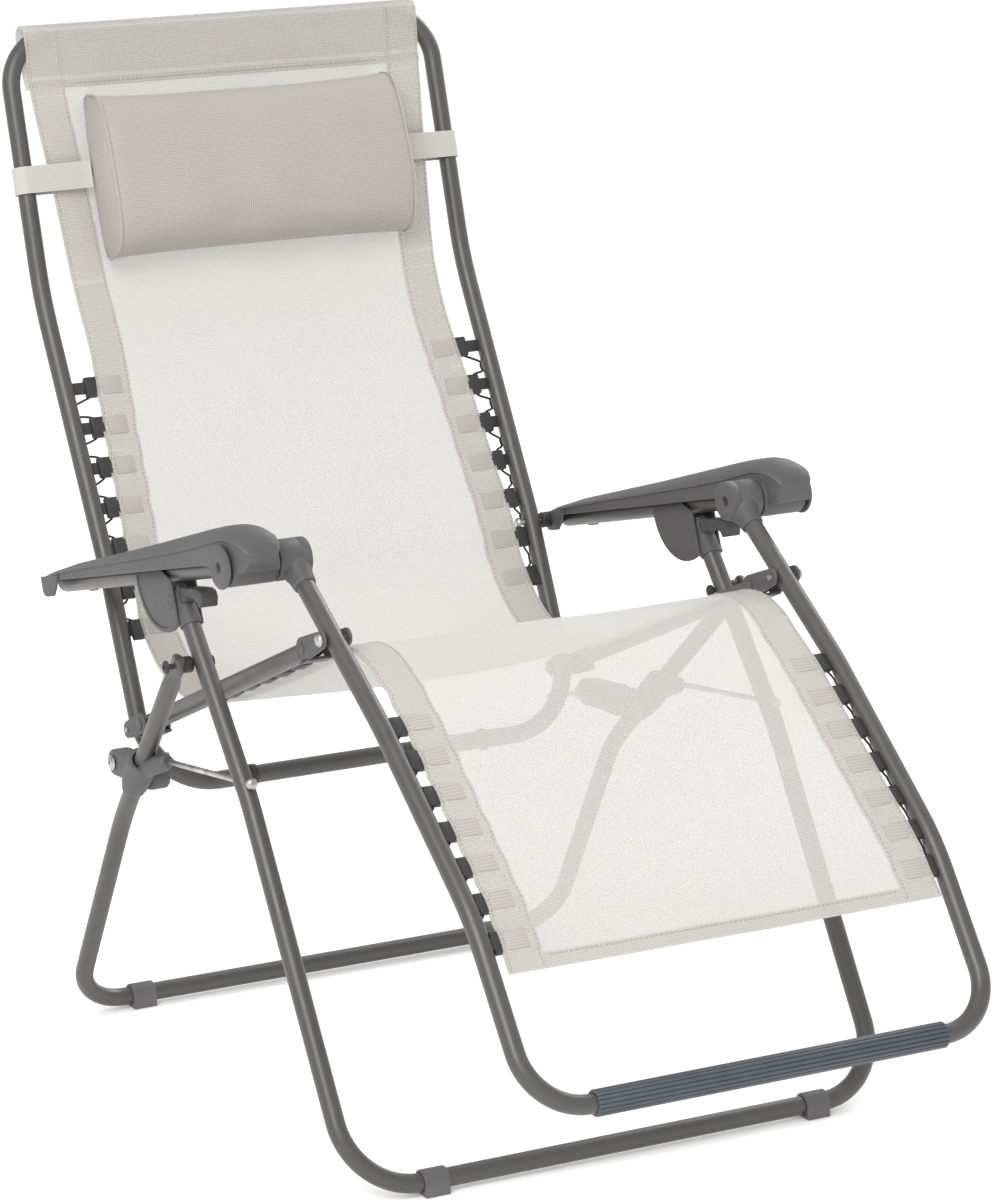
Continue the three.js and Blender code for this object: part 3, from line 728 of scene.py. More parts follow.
def leg_rest_hub(side, tag):
    barrel = [(252.4, 0), (252.4, 4.4), (249.4, 5.4), (249, 6.2), (249, 19.6), (249.5, 20.6), (250.6, 21),
              (258, 21), (258.6, 20.6), (259.4, 20.6), (260, 21), (283.4, 21), (284.6, 20.6), (285.2, 19.6),
              (285.2, 0)]
    root = at(side * SEAT_X, toward(HUB, LEG_REST_BEND_HIGH, 0.012))
    down = at(side * SEAT_X, LEG_REST_BEND_HIGH) - root
    socket = [(0, 0), (0, 16), (8, 15.2), (14, 13.2), (22, 12.5), (26, 11.9), (27, 10.8), (27, 0)]
    Piece(turned_x(side, HUB, barrel, 56), turned(root, down, socket)).build(
        f"hub_barrel_{tag}", PLASTIC, "leg_rest", "plastic", [f"leg_rest_hub_{tag}"])
    screw = [(252.6, 0), (250.9, 3.9), (250.7, 2.2), (251.6, 1.6), (251.6, 0)]
    turned_piece(side, tag, "hub_screw", HUB, DARK, "leg_rest", "dark_plastic", None, [(screw, 24)])


# ---------- arms ----------
# the armrest's sections, in millimetres: place along the arm, crown, shoulder, half width and lower edge
ARM_SPAN = np.array([-12, 0, 12, 60, 120, 220, 340, 400, 430, 455, 470, 482, 491, 497, 500.0])
ARM_TOP = np.array([9.6, 12.2, 14.6, 19.5, 22.8, 28.0, 35.6, 39.4, 40.6, 40.6, 38.6, 34.0, 27.5, 20, 14])
ARM_SIDE = np.array([6.4, 8.6, 10.6, 13.6, 15.6, 18.0, 21.5, 24.5, 27.0, 29.0, 28.0, 25, 20.5, 15.5, 11])
ARM_HALF = np.array([24, 25.5, 26.4, 27, 27, 27, 27, 27, 27, 27, 26.6, 25.4, 23.2, 20.5, 17.6])
ARM_EDGE = np.array([5.0, 3.8, 3.3, 3.3, 3.3, 3.3, 3.3, 3.3, 1.0, -6.0, -8.6, -9.0, -8.0, -3.5, 2.0])
ARM_WALL = 3.0
ARM_HOLLOW = (14, 428)
HOLLOW_EASE = 8
CROWN_POWER = 2.3


def arm_section(u):
    """One cross-section of the armrest: outer wall, crown, outer wall, then the hollow inside."""
    rows = (ARM_TOP, ARM_SIDE, ARM_HALF, ARM_EDGE)
    top, shoulder, half, edge = (np.interp(u, ARM_SPAN, row) for row in rows)
    depth = np.clip(min(u - ARM_HOLLOW[0], ARM_HOLLOW[1] - u) / HOLLOW_EASE, 0, 1)
    side = half - 1.8
    inner = side - ARM_WALL + 0.8
    roof = edge + 0.3 + depth * max(shoulder - ARM_WALL - edge, 0)
    crown = edge + 0.3 + depth * max(top - ARM_WALL - edge, 0)
    wall = [(side, edge + 0.8), (side, (edge + shoulder) / 2), (side, shoulder - 3.0),
            (half, shoulder - 2.2)]
    lip = [(inner + 0.4, edge), (inner, edge + 0.2 + depth * 0.6), (inner, roof)]
    points = [(-x, v) for x, v in wall]
    points += [(x * (half - 0.7), shoulder + (top - shoulder) * (1 - abs(x) ** CROWN_POWER))
               for x in np.linspace(-1, 1, 17)]
    points += wall[::-1] + [(side - 0.8, edge)] + lip
    points += [(x * inner, roof + (crown - roof) * (1 - abs(x) ** CROWN_POWER))
               for x in np.linspace(0.85, -0.85, 9)]
    return points + [(-x, v) for x, v in lip[::-1]] + [(-side + 0.8, edge)]


def arm_shell(side, tag):
    extra = [16, 18, 20, 22, 24, 418, 421, 424, 427]
    stations = sorted(set(list(np.arange(-12, 500, 9.0)) + list(ARM_SPAN) + extra))
    rings = [[at(side * (ARM_X + x * MM), on_arm(u * MM, v * MM)) for x, v in arm_section(u)]
             for u in stations]
    count = len(rings[0])
    verts = [p for ring in rings for p in ring]
    faces = bridge(len(rings), count, False)
    for start in (0, (len(rings) - 1) * count):
        fan(verts, faces, start, count, np.mean(verts[start:start + count], axis=0))
    lobe = [on_arm(u * MM, v * MM) for u, v in ((-9, 9), (-8, -6), (-4, -12), (4, -13.4), (20, -13.2),
                                                (27, -6), (34, 3.4), (38, 9))]
    hub = [(287, 0), (287, 19.6), (287.6, 20.6), (288.8, 21), (336.6, 21), (337.8, 20.4), (338.2, 19.4),
           (338.2, 0)]
    Piece((verts, faces), prism(side, 338.2, 341, lobe, 0.8), prism(side, 287, 289.6, lobe, 0.8),
          turned_x(side, HUB, hub, 56)).build(
        f"armrest_shell_{tag}", PLASTIC, "arms", "plastic", [f"armrest_{tag}"], sharp=32)


def arm_tube(side, tag):
    ends = [at(side * ARM_X, on_arm(-0.0005, 0)), at(side * ARM_X, on_arm(0.4325, 0))]
    Piece(swept(ends, ARM_TUBE_R)).build(f"arm_bar_{tag}", PAINT, "arms", "frame", [f"arm_tube_{tag}"])


def hub_disc(side, tag):
    cover = [(341.4, 0), (341.4, 21), (342, 22.2), (343, 22.5), (344.4, 22.2), (345.2, 21.2), (346, 18),
             (346, 6.6), (345.4, 5.6), (343.2, 4.8), (343.2, 0)]
    screw = [(343, 0), (343, 4.5), (344.4, 4.3), (344.8, 3.6), (344.8, 2.4), (343.8, 1.9), (343.8, 0)]
    turned_piece(side, tag, "arm_disc", HUB, PLASTIC, "arms", "plastic", "hub_disc", [(cover, 56)])
    turned_piece(side, tag, "disc_screw", HUB, DARK, "arms", "dark_plastic", None, [(screw, 24)])


def arm_clip(side, tag):
    rings = [(277, 3.6), (277, 8), (278, 9)]
    for start in range(280, 300, 4):
        rings += [(start, 9), (start + 0.8, 8.2), (start + 1.8, 8.2), (start + 2.6, 9)]
    rings += [(301.4, 9), (302.4, 8), (302.4, 3.6)]
    turned_piece(side, tag, "arm_collar", ARM_PIVOT, DARK, "arms", "dark_plastic", "arm_clip", [(rings, 32)])


def arm_pivot_bolt(side, tag):
    head = [(244, 0), (244, 3.4), (244.8, 5.2), (246.6, 6.2), (248, 6.2), (248, 0)]
    turned_piece(side, tag, "arm_bolt", ARM_PIVOT, STEEL, "back", "steel", "arm_pivot_bolt", [
        (disc(245, 301, 3, 0.3), 24), (head, 28)])


def slide_bracket(side, tag):
    """Two quarter-round cheeks that straddle the arm tube, on a pin through the front leg's top."""
    leg_angle, arm_angle = (math.atan2(*(point - ARM_SLIDE)[::-1]) for point in (FRONT_LEG_BEND, ARM_PIVOT))
    wing = [on_arm(0.282, 0.003), on_arm(0.222, 0.003)]
    wing += arc(ARM_SLIDE, 0.062, arm_angle, leg_angle, 20)
    wing += [on_arm(0.302, -0.014), on_arm(0.300, -0.007)]
    rim = arc(ARM_SLIDE, 0.0615, arm_angle, leg_angle, 20) + arc(ARM_SLIDE, 0.0575, leg_angle, arm_angle, 20)
    head = [(328, 0), (328, 7), (329.4, 7), (331, 5.6), (331, 3.4), (329.8, 2.4), (329.8, 0)]
    Piece(prism(side, 299, 301.7, wing, 0.8), prism(side, 326.3, 329, wing, 0.8),
          prism(side, 328.4, 330.2, rim, 0.5), turned_x(side, GUIDE_PIN, disc(299.5, 328.5, 3, 0.3), 20),
          turned_x(side, GUIDE_PIN, head, 32)).build(
        f"bracket_{tag}", PLASTIC, "arm_guides", "plastic", [f"slide_bracket_{tag}"])


def leg_collar(side, tag):
    top = at(side * FRONT_LEG_X, toward(ARM_SLIDE, FRONT_LEG_BEND, 0.024))
    down = at(side * FRONT_LEG_X, FRONT_LEG_BEND) - top
    collar = [(0, 10.4), (0, 11.3), (0.8, 12), (8, 12), (9, 11.7), (10, 12), (34, 12), (38.8, 11.9),
              (40, 11.2), (40, 10.4)]
    latch = capsule(spot(23, 545), spot(8, 554.5), 0.0085, 0.0062)
    Piece(turned(top, down, collar), prism(side, 306.5, 321.5, latch, 1.2)).build(
        f"collar_{tag}", PLASTIC, "front_legs", "plastic", [f"leg_collar_{tag}"])


def lock_lever(side, tag):
    paddle = [spot(*point) for point in (
        (6, 563), (-14, 566.6), (-30, 569), (-38, 567.6), (-41.6, 562), (-40.6, 552), (-34.5, 550),
        (-30, 555), (-20, 557), (-8, 556), (4, 554))]
    Piece(prism(side, 304.2, 323.8, paddle, 1.2)).build(
        f"paddle_{tag}", LEVER, f"lever_{tag}", "dark_plastic", [f"lock_lever_{tag}"])


# ---------- the sling ----------
SLING_T = 0.0012
HEM_T = 0.0008
FRONT_FACE = 0.002
HEM_W = 0.042
TOP_BAND = 0.060
LINE_STEP = 0.001
SHEET_STEP = 0.010
STITCH_R = 0.00045
CORD_R = 0.0013


def sling_line():
    """The fabric's edge line in the side view, from the seam behind the top bar to the foot hem."""
    up = unit(BACK_TOP_BAR - BACK_HIGH_BEND)
    front = np.array([-up[1], up[0]])
    wrap = TUBE_R + 0.0012
    seam = BACK_TOP_BAR - up * TOP_BAND
    corners = [(seam - front * 0.001, 0), (seam + up * 0.012 - front * 0.003, 0.03)]
    corners += [(BACK_TOP_BAR + wrap * (-front * math.cos(a) + up * math.sin(a)), 0)
                for a in np.linspace(0, math.pi, 13)]
    corners += [(seam + up * 0.010 + front * 0.0032, 0.03), (seam - up * 0.010 + front * FRONT_FACE, 0.05),
                (BACK_HIGH_BEND + front * FRONT_FACE, 0.300), (BACK_LOW_BEND + front * FRONT_FACE, 0.200),
                (RAIL_PIVOT + yz(2, 2), 0.150), (KNEE_PIVOT + yz(-2, -4), 0.110),
                (LEG_REST_BEND_HIGH + yz(-1, 1), 0.300), (LEG_REST_BEND_LOW + yz(1, 3), 0.260),
                (spot(-546, 289), 0)]
    return resample(rounded(corners), LINE_STEP)


LINE = sling_line()
REACH = np.arange(len(LINE)) * np.linalg.norm(LINE[1] - LINE[0])
SLOPE = np.gradient(LINE, axis=0)
SLOPE /= np.linalg.norm(SLOPE, axis=1)[:, None]
NORMAL = np.stack([SLOPE[:, 1], -SLOPE[:, 0]], axis=1)
FAR_AWAY = 9.0


def reach_near(point, after=0.0):
    """The distance along the fabric line at which it passes nearest a side-view point."""
    gap = np.linalg.norm(LINE - point, axis=1) + (REACH < after) * FAR_AWAY
    return REACH[int(np.argmin(gap))]


S_TOP = reach_near(BACK_TOP_BAR + yz(0, 11))
S_SEAM = S_TOP + 0.075
S_MID_BACK = reach_near(spot(430, 705), S_SEAM)
S_HIP_START = reach_near(spot(305, 470), S_SEAM)
S_HIP = reach_near(RAIL_PIVOT, S_SEAM)
S_SEAT = reach_near(between(RAIL_PIVOT, KNEE_PIVOT, 0.5), S_SEAM)
S_KNEE = reach_near(KNEE_PIVOT, S_SEAM)
S_END = REACH[-1]
CLIP_STEP = 0.0435

# half the cloth's width, and how far its middle sags, at places along it
HALF_S = np.array([0, S_SEAM, S_SEAM + 0.11, S_SEAM + 0.22, S_MID_BACK - 0.02, S_MID_BACK + 0.04,
                   S_HIP_START - 0.05, S_HIP, S_KNEE, S_KNEE + 0.2, S_END])
HALF_W = np.array([247.5, 244.5, 234.5, 226.5, 223.5, 230, 241, 243, 241, 243, 248]) * MM
SAG_S = np.array([0, S_SEAM, S_MID_BACK, S_HIP_START, S_HIP, S_SEAT, S_KNEE - 0.06, S_KNEE, S_KNEE + 0.1,
                  S_END - 0.1, S_END])
SAG_D = np.array([0, 1, 9, 10, 6, 16, 4, -2, 4, 6, 3]) * MM
LACED = [(S_MID_BACK, S_HIP_START + 0.03), (S_HIP + 0.06, S_KNEE - 0.06), (S_KNEE + 0.05, S_END - 0.01)]


def smooth_interp(s, knots, values):
    """Interpolation with rounded corners."""
    offsets = (-0.03, -0.015, 0.0, 0.015, 0.03)
    return sum(np.interp(s + o, knots, values) for o in offsets) / len(offsets)


def half_width(s):
    return smooth_interp(s, HALF_S, HALF_W)


def laced(s):
    """1 where the fabric edge is laced to a tube, 0 where it hangs free."""
    return max(np.clip(min(s - a, b - s) / 0.02, 0, 1) for a, b in LACED)


def clip_wave(s):
    """A wave along the cloth with the spacing of the lace clips."""
    return math.cos(2 * math.pi * (s - S_MID_BACK) / CLIP_STEP)


def sling_point(x, s, lift=0.0):
    """A point of the sling: x across, s along, lift off the cloth towards the sitter."""
    place = s / REACH[1]
    index = int(np.clip(math.floor(place), 0, len(LINE) - 2))
    share = place - index
    base = LINE[index] * (1 - share) + LINE[index + 1] * share
    normal = unit(NORMAL[index] * (1 - share) + NORMAL[index + 1] * share)
    across = min(abs(x) / half_width(s), 1.0)
    sag = smooth_interp(s, SAG_S, SAG_D) * (1 - across ** 2.4)
    near_edge = np.clip((across - 0.72) / 0.28, 0, 1) ** 2
    ripple = 0.0011 * laced(s) * near_edge * clip_wave(s)
    creases = 0.0
    if s > S_TOP:
        waves = math.sin(x * 31 + s * 9) * math.sin(s * 23 - x * 7)
        creases = 0.0008 * waves * min((s - S_TOP + 0.02) * 8, 1.0)
    return at(x, base + normal * (lift - sag + ripple + creases))


def edge_x(s, inset=0.0):
    """The half width at s, less the small scallops that the lacing pulls into the edge."""
    return half_width(s) - inset - 0.0008 * laced(s) * (1 + clip_wave(s))


def edge_line(side, inset=0.0):
    """The line that far inside one edge of the cloth, as x from s."""
    return lambda s: side * edge_x(s, inset)


def closed_sheet(rows, width):
    """The faces of a closed thin sheet whose points are two grids, one after the other."""
    half = rows * width
    faces = []
    for i in range(rows - 1):
        for j in range(width - 1):
            a = i * width + j
            faces.append((a, a + 1, a + width + 1, a + width))
            faces.append((half + a + width, half + a + width + 1, half + a + 1, half + a))
    rim = list(range(width)) + [i * width + width - 1 for i in range(1, rows)]
    rim += [(rows - 1) * width + j for j in range(width - 2, -1, -1)]
    rim += [i * width for i in range(rows - 2, 0, -1)]
    return faces + [(b, a, half + a, half + b) for a, b in zip(rim, rim[1:] + rim[:1])]


def sheet(s0, s1, inner, outer, lift, thickness, columns):
    """A closed thin sheet between two lines along the cloth."""
    stations = np.linspace(s0, s1, max(2, round((s1 - s0) / SHEET_STEP) + 1))
    uvs = [(x, s) for s in stations for x in np.linspace(inner(s), outer(s), columns + 1)]
    verts = [sling_point(x, s, lift + layer) for layer in (thickness / 2, -thickness / 2) for x, s in uvs]
    return verts, closed_sheet(len(stations), columns + 1), uvs * 2


def stitches(s0, s1, x_of, lift):
    """A row of short raised stitches along the cloth, each a square bar."""
    length, pitch, r = 0.0034, 0.0052, STITCH_R
    verts, faces = [], []
    corners = [math.pi / 2 * a + math.pi / 4 for a in range(4)]
    count = int((s1 - s0) / pitch)
    for k in range(count):
        start = s0 + (k + 0.5) * (s1 - s0) / count - length / 2
        ends = []
        for share, drop in ((0, -0.6), (0.25, 0.5), (0.75, 0.5), (1, -0.6)):
            s = start + length * share
            ends.append(sling_point(x_of(s), s, lift + drop * r))
        side = unit(np.cross(ends[3] - ends[0], ends[1] - ends[0]) + np.array([1e-9, 0, 0]))
        up = unit(np.cross(ends[3] - ends[0], side))
        base = len(verts)
        verts += [p + side * r * math.cos(a) + up * r * math.sin(a) for p in ends for a in corners]
        faces += [tuple(base + i for i in face) for face in bridge(4, 4, False)]
        faces += [(base + 3, base + 2, base + 1, base), (base + 12, base + 13, base + 14, base + 15)]
    return verts, faces


def cross_stitches(half, s, lift):
    """A row of stitches across the cloth."""
    length, pitch, r = 0.0036, 0.0056, STITCH_R
    count = int(2 * half / pitch)
    row = []
    for k in range(count):
        x = -half + (k + 0.5) * 2 * half / count
        path = [sling_point(x + length * share, s, lift + drop * r)
                for share, drop in ((-0.5, -0.6), (-0.25, 0.5), (0.25, 0.5), (0.5, -0.6))]
        row.append(swept(path, r, 5, dome=0.0002))
    return row


HEM_START = S_TOP - 0.006
# each stretch of fabric: name, CAD nodes, start, end, the two bodies it hangs between, where it bends, and
# the band across it: start, end, its row of stitches and half that row's width
STRETCHES = [
    ("back", ["back_sling"], 0.0, S_SEAT, ("back", "seat"), (S_HIP_START + 0.04, S_HIP + 0.11),
     (HEM_START, S_SEAM, S_SEAM - 0.004, 0.19)),
    ("seat", ["seat_sling", "leg_sling"], S_SEAT, S_END, ("seat", "leg_rest"), (S_KNEE - 0.09, S_KNEE + 0.09),
     (S_END - 0.016, S_END, S_END - 0.013, 0.20)),
]


def make_sling():
    lift = SLING_T / 2 + 0.0005
    top = lift + 0.0005
    for name, nodes, s0, s1, bodies, bends, (band_start, band_end, row, row_half) in STRETCHES:
        cloth = Piece(sheet(s0, s1, edge_line(LEFT), edge_line(RIGHT), 0.0, SLING_T, 48))
        hem = Piece()
        seams = Piece()
        for side in TAGS:
            inner, outer = edge_line(side, HEM_W), edge_line(side, 0.0002)
            hem.add(*sheet(max(s0, HEM_START), s1, inner, outer, lift, HEM_T, 8))
            for inset in (0.0030, HEM_W - 0.0030):
                start = max(s0, S_TOP + 0.012)
                seams.add(*stitches(start, s1 - 0.002, edge_line(side, inset), top))
        between_hems = (edge_line(side, HEM_W + 0.0004) for side in TAGS)
        hem.add(*sheet(band_start, band_end, *between_hems, lift, HEM_T, 40))
        for stitch in cross_stitches(row_half, row, top):
            seams.add(*stitch)
        for made in (cloth.build(f"{name}_cloth", MESH, None, "sling", nodes, sharp=60),
                     hem.build(f"{name}_hem", HEM, None, "sling", sharp=60),
                     seams.build(f"{name}_stitching", THREAD, None, "sling")):
            start, end = (tuple(sling_point(0, s)) for s in bends)
            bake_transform(made)


# ---------- lacing ----------
def clip_block(x0, x1, s, half, lift0, lift1, ease):
    """A small eased block laid on the cloth, half its length either side of s."""
    shape = bmesh.new()
    corners = [shape.verts.new(sling_point(x, place, lift))
               for x in (x0, x1) for place in (s - half, s + half) for lift in (lift0, lift1)]
    for quad in ((0, 1, 3, 2), (4, 6, 7, 5), (0, 4, 5, 1), (2, 3, 7, 6), (0, 2, 6, 4), (1, 5, 7, 3)):
        shape.faces.new([corners[i] for i in quad])
    bmesh.ops.recalc_face_normals(shape, faces=shape.faces)
    bmesh.ops.bevel(shape, geom=list(shape.edges), offset=ease, segments=2, profile=0.5, affect="EDGES")
    return points_and_faces(shape)


def lacing(name, side, s0, s1, tube, body):
    """Edge clips with an elastic cord that winds between them and the tube beside the cloth."""
    clips, painted_shade_tabs = Piece(), Piece()
    count = max(2, round((s1 - s0) / CLIP_STEP))
    stations = [s0 + (k + 0.5) * (s1 - s0) / count for k in range(count)]
    cord = []
    for k, s in enumerate(stations):
        edge = half_width(s)
        gap = SEAT_X - TUBE_R - edge
        reach = min(gap - 0.0006, 0.0125)
        clips.add(*clip_block(side * (edge - 0.004), side * (edge + reach), s, 0.0115,
                              -0.0062, 0.0012, 0.0016))
        clips.add(*clip_block(side * (edge + 0.004), side * (edge + gap + 0.0012), s, 0.0065,
                              -0.0050, -0.0006, 0.0010))
        # darker tabs on the hem over each clip: painted shade of the clip tongue inside the hem, not pockets
        painted_shade_tabs.add(*clip_block(side * (edge - 0.031), side * (edge - 0.0075), s, 0.0100,
                                0.0006, 0.0024, 0.0007))
        for step in (-0.010, 0.010) if k else (0.010,):
            cord.append(sling_point(side * (edge + reach * 0.5), s + step, -0.0030))
        if k < count - 1:
            behind = sling_point(0, s, -1.0) - sling_point(0, s)
            inner_rear = unit(np.array([-side, 0, 0]) + behind * 0.75)
            for share in (0.38, 0.46, 0.54, 0.62):
                centre = tube(s + (stations[k + 1] - s) * share, side)
                cord.append(centre + inner_rear * (TUBE_R + CORD_R + 0.0001))
    clips.build(f"{name}_clips", DARK, body, "dark_plastic")
    painted_shade_tabs.build(f"{name}_pockets", PAINTED_CLIP_SHADE, body, "sling")
    Piece(swept(smooth_curve(cord, 5), CORD_R, 8, dome=0.0006)).build(
        f"{name}_cord", CORD, body, "dark_plastic")


def tube_beside(*corners):
    """A function of s and side giving the point of a tube's centre line nearest the cloth."""
    path = resample(rounded(corners), 0.002)

    def place(s, side):
        base = sling_point(0, s)[1:]
        return at(side * SEAT_X, path[int(np.argmin(np.linalg.norm(path - base, axis=1)))])
    return place


def make_lacing():
    back = tube_beside((BACK_LOW_BAR, 0), (BACK_LOW_BEND, 0.2), (BACK_HIGH_BEND, 0.3), (BACK_TOP_BAR, 0))
    rail = tube_beside((RAIL_PIVOT, 0), (KNEE_PIVOT, 0))
    leg = tube_beside((HUB, 0), (LEG_REST_BEND_HIGH, 0.3), (LEG_REST_BEND_LOW, 0.26), (FOOT_BAR, 0))
    for side, tag in TAGS.items():
        lacing(f"back_lace_{tag}", side, S_MID_BACK - 0.01, S_HIP_START + 0.05, back, "back")
        lacing(f"seat_lace_{tag}", side, S_HIP + 0.12, S_KNEE - 0.095, rail, "seat")
        lacing(f"leg_lace_{tag}", side, S_KNEE + 0.095, S_END - 0.012, leg, "leg_rest")


# ---------- headrest ----------
UP_BACK = unit(BACK_TOP_BAR - BACK_HIGH_BEND)
OUT_BACK = np.array([-UP_BACK[1], UP_BACK[0]])
PILLOW_Z = 0.908
PILLOW_MIDDLE = BACK_HIGH_BEND + UP_BACK * ((PILLOW_Z - BACK_HIGH_BEND[1]) / UP_BACK[1])


def on_back(x, out, up):
    """A point by the upper back: out towards the sitter, up along the back, from the pillow's middle."""
    return at(x, PILLOW_MIDDLE + OUT_BACK * out + UP_BACK * up)


def pillow_outline(count=48):
    """The pillow's end view as (out, up) in metres, thickest below its middle."""
    knots = np.array([(10, 91), (28, 92), (46, 84), (56, 58), (61, 16), (63, -34), (59, -66), (47, -86),
                      (26, -93), (10, -88), (6, -40), (5, 10), (6, 60)]) * MM
    closed = np.vstack([knots[-2:], knots, knots[:3]])
    curve = smooth_curve(closed, 8)[16:-17]
    loop = np.vstack([curve, curve[:1]])
    return resample(loop, distances(loop)[-1] / count)[:-1]


def simulate(piece, cap):
    """Inflates the piece as cloth, then keeps every point within cap of where it was."""
    frames = 20
    rest = np.array([v.co for v in piece.data.vertices])
    cloth = piece.modifiers.new("cloth", "CLOTH")
    cloth.settings.use_pressure = True
    cloth.settings.uniform_pressure_force = 3.0
    cloth.settings.quality = 6
    cloth.settings.tension_stiffness = 12
    cloth.settings.compression_stiffness = 12
    cloth.settings.bending_stiffness = 0.6
    cloth.settings.effector_weights.gravity = 0
    cloth.point_cache.frame_start = 1
    cloth.point_cache.frame_end = frames
    scene = bpy.context.scene
    for number in range(1, frames + 1):
        scene.frame_set(number)
    graph = bpy.context.evaluated_depsgraph_get()
    moved = np.array([v.co for v in piece.evaluated_get(graph).data.vertices])
    piece.modifiers.remove(cloth)
    scene.frame_set(1)
    step = moved - rest
    size = np.linalg.norm(step, axis=1)[:, None]
    kept = rest + step * np.minimum(1, cap / np.maximum(size, 1e-9))
    piece.data.vertices.foreach_set("co", kept.ravel())
    piece.data.update()


PILLOW_END = 0.190
PILLOW_COLUMNS = 49


def pillow_shape(section):
    """The pillow's long skin and its two slightly bulging ends."""
    middle = section.mean(axis=0)
    count = len(section)
    verts, uvs = [], []
    for x in np.linspace(-PILLOW_END, PILLOW_END, PILLOW_COLUMNS):
        edge = np.clip((PILLOW_END - abs(x)) / 0.05, 0, 1)
        pinch = np.array([0.94 + 0.06 * math.sin(edge * math.pi / 2), 1.0 - 0.012 * (1 - edge)])
        lift = 0.0012 * math.sin(x * 26) + 0.0008 * math.sin(x * 61 + 1)
        for (out, up), run in zip(section, distances(section)):
            p = middle + (np.array([out, up]) - middle) * pinch
            verts.append(on_back(x, max(p[0], 0.0045) + lift * (out > 0.02), p[1]))
            uvs.append((x, run))
    faces = bridge(PILLOW_COLUMNS, count, False)
    for ring, x in ((0, -PILLOW_END), ((PILLOW_COLUMNS - 1) * count, PILLOW_END)):
        for share, reach in ((0.82, 0.0035), (0.55, 0.005), (0.25, 0.006)):
            inner = len(verts)
            for p in middle + (section - middle) * share:
                verts.append(on_back(x + math.copysign(reach, x), max(p[0], 0.0055), p[1]))
                uvs.append(tuple(p))
            faces += [(ring + k, ring + (k + 1) % count, inner + (k + 1) % count, inner + k)
                      for k in range(count)]
            ring = inner
        fan(verts, faces, ring, count, on_back(x + math.copysign(0.006, x), *middle))
        uvs.append(tuple(middle))
    return verts, faces, uvs


def make_pillow():
    section = pillow_outline()
    count = len(section)
    piece = Piece(pillow_shape(section)).build(
        "pillow", PILLOW, None, "pillow", ["headrest_pillow"], sharp=70)
    simulate(piece, 0.006)
    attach(piece, "headrest")
    body = np.array([v.co for v in piece.data.vertices])
    piping = [swept(body[start:start + count], 0.0017, 8, closed=True)
              for start in (0, (PILLOW_COLUMNS - 1) * count)]
    Piece(*piping).build("pillow_piping", GUSSET, "headrest", "pillow")
    proud = at(0, OUT_BACK) * 0.0003
    seams = [swept([body[i * count + int(count * share)] + proud for i in range(PILLOW_COLUMNS)], 0.0009, 6)
             for share in (0.02, 0.62)]
    Piece(*seams).build("pillow_seams", THREAD, "headrest", "pillow")


def headrest_strap(side, tag):
    """A flat band from the pillow's end round the back tube and in behind the sling's edge."""
    r = TUBE_R + 0.0021
    loop = [(0.192, 0.020), (0.200, 0.0165), (0.222, 0.0135), (0.245, 0.0124)]
    loop += [(SEAT_X + r * math.sin(a), r * math.cos(a)) for a in np.linspace(0, math.pi, 13)]
    loop += [(0.245, -r + 0.0004), (0.226, -r + 0.0016), (0.205, -r + 0.002)]
    path = smooth_curve(loop, 4)
    tangent = np.gradient(path, axis=0)
    tangent /= np.linalg.norm(tangent, axis=1)[:, None]
    normal = np.stack([-tangent[:, 1], tangent[:, 0]], axis=1)
    heights = np.linspace(-0.015, 0.015, 9)
    verts = [on_back(side * x, out, h + 0.006)
             for layer in (0.0006, -0.0006) for x, out in path + normal * layer for h in heights]
    uvs = [(run, h) for run in distances(path) for h in heights] * 2
    Piece((verts, closed_sheet(len(path), len(heights)), uvs)).build(
        f"strap_{tag}", STRAP, "headrest", "sling", [f"headrest_strap_{tag}"], sharp=60)


# ---------- assembly ----------
front_leg_frame()
rear_leg_frame()
back_frame()
leg_rest_frame()
foot_sleeve()
for side, tag in TAGS.items():
    floor_clip(side, tag, "front", FRONT_BAR, "front_legs")
    floor_clip(side, tag, "rear", REAR_BAR, "rear_legs")
    for make in (leg_pivot_bolt, knuckle, tension_rod, back_pivot_bolt, rail_pivot_bolt, knee_pin, seat_rail):
        make(side, tag)
    rail_fork(side, tag, "rear", RAIL_PIVOT, KNEE_PIVOT, 0.036)
    rail_fork(side, tag, "front", KNEE_PIVOT, RAIL_PIVOT, 0.046)
    for make in (leg_rest_hub, arm_shell, arm_tube, hub_disc, arm_clip, arm_pivot_bolt, slide_bracket,
                 leg_collar, lock_lever, headrest_strap):
        make(side, tag)
make_sling()
make_lacing()
make_pillow()


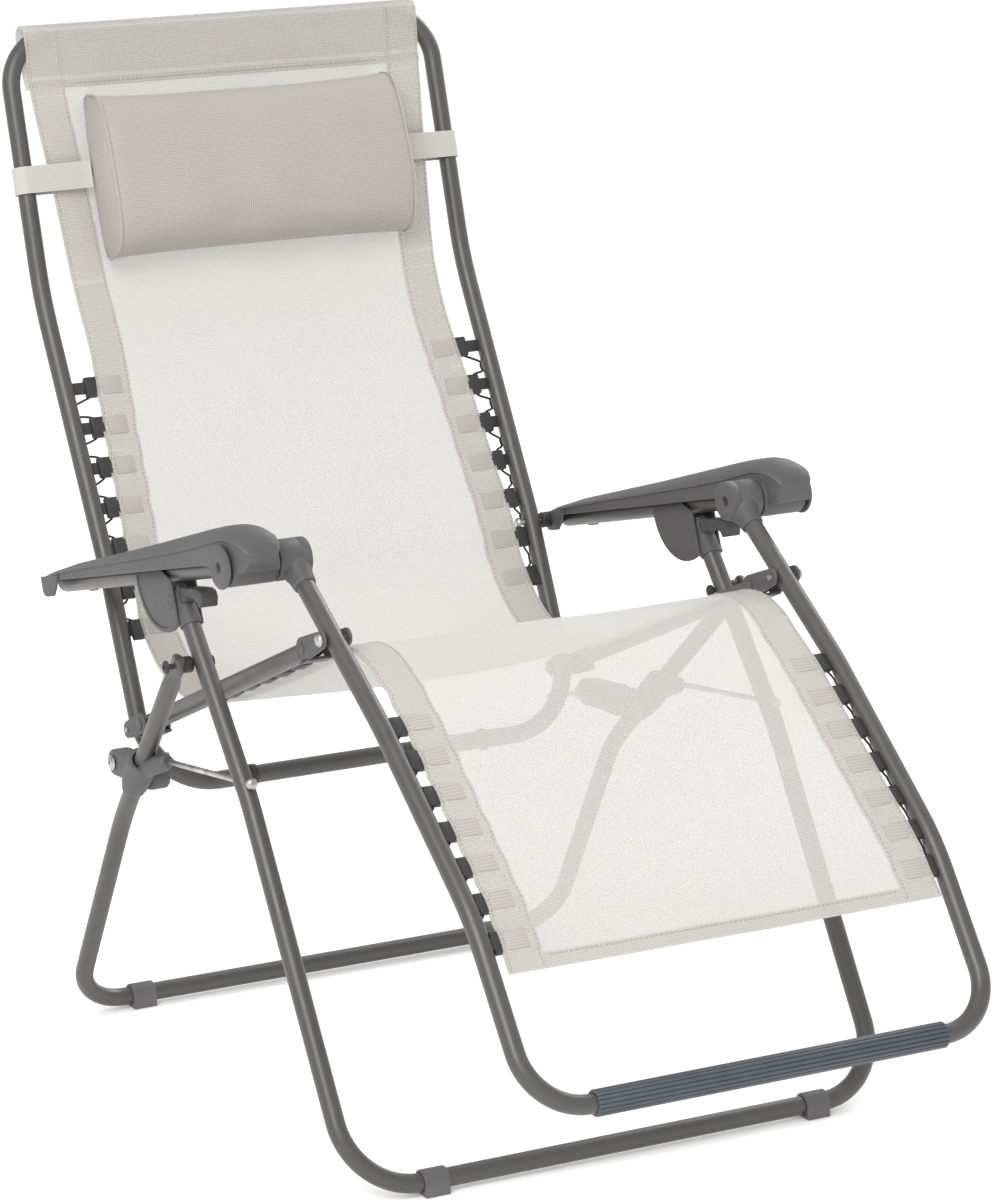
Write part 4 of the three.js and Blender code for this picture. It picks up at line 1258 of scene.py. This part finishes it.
# ---------- floor, light and camera ----------
def make_stage():
    nodes = Nodes("pale_floor")
    tone = nodes.mix(nodes.noise(nodes.place, 3.0), "f4f4f3", "f8f8f7")
    nodes.finish(nodes.add("BsdfPrincipled", Base_Color=tone, Roughness=0.9, Emission_Color=(1, 1, 1, 1),
                           Emission_Strength=0.2))
    reach, level = 30.0, -0.0006
    mesh = bpy.data.meshes.new("floor")
    mesh.from_pydata([(x * reach, y * reach, level) for x, y in ((-1, -1), (1, -1), (1, 1), (-1, 1))],
                     [], [(0, 1, 2, 3)])
    mesh.materials.append(nodes.material)
    linked("floor", mesh)


def area_light(name, place, target, size, power):
    data = bpy.data.lights.new(name, "AREA")
    data.shape = "SQUARE"
    data.size = size
    data.energy = power
    light = linked(name, data)
    light.location = place
    light.rotation_euler = (Vector(target) - Vector(place)).to_track_quat("-Z", "Y").to_euler()


def make_lights():
    """A white world, a little brighter where the camera sees it, and two area lights."""
    world = bpy.data.worlds.new("studio")
    bpy.context.scene.world = world
    world.use_nodes = True
    nodes, links = world.node_tree.nodes, world.node_tree.links
    background = nodes["Background"]
    background.inputs["Color"].default_value = (1, 1, 1, 1)
    strength = nodes.new("ShaderNodeMapRange")
    strength.inputs["To Min"].default_value = 0.90
    strength.inputs["To Max"].default_value = 1.10
    links.new(nodes.new("ShaderNodeLightPath").outputs["Is Camera Ray"], strength.inputs["Value"])
    links.new(strength.outputs["Result"], background.inputs["Strength"])
    area_light("key", (-2.6, -2.4, 3.4), (0, 0, 0.5), 2.2, 120)
    area_light("rim", (2.8, 1.6, 2.6), (0, 0, 0.6), 1.8, 50)
    bpy.context.scene.view_settings.view_transform = "Standard"


def make_camera():
    """The viewing direction is a yaw, a pitch and a small roll about the line of sight."""
    place = Vector((-2.3815, -4.3844 + BARS_MIDDLE[0], 1.7193))
    yaw, pitch, roll = -0.51217, 0.23177, -0.00652
    back = Vector((math.sin(yaw) * math.cos(pitch), -math.cos(yaw) * math.cos(pitch), math.sin(pitch)))
    flat_right = Vector((math.cos(yaw), math.sin(yaw), 0))
    flat_up = back.cross(flat_right)
    right = flat_right * math.cos(roll) + flat_up * math.sin(roll)
    up = flat_up * math.cos(roll) - flat_right * math.sin(roll)
    data = bpy.data.cameras.new("camera")
    data.sensor_width = 36.0
    data.lens = 145.1172
    data.shift_x = -0.0267
    data.shift_y = -0.0238417
    data.clip_end = 100
    camera = linked("camera", data)
    camera.matrix_world = Matrix.Translation(place) @ Matrix((right, up, back)).transposed().to_4x4()
    bpy.context.scene.camera = camera


make_stage()
make_lights()
make_camera()
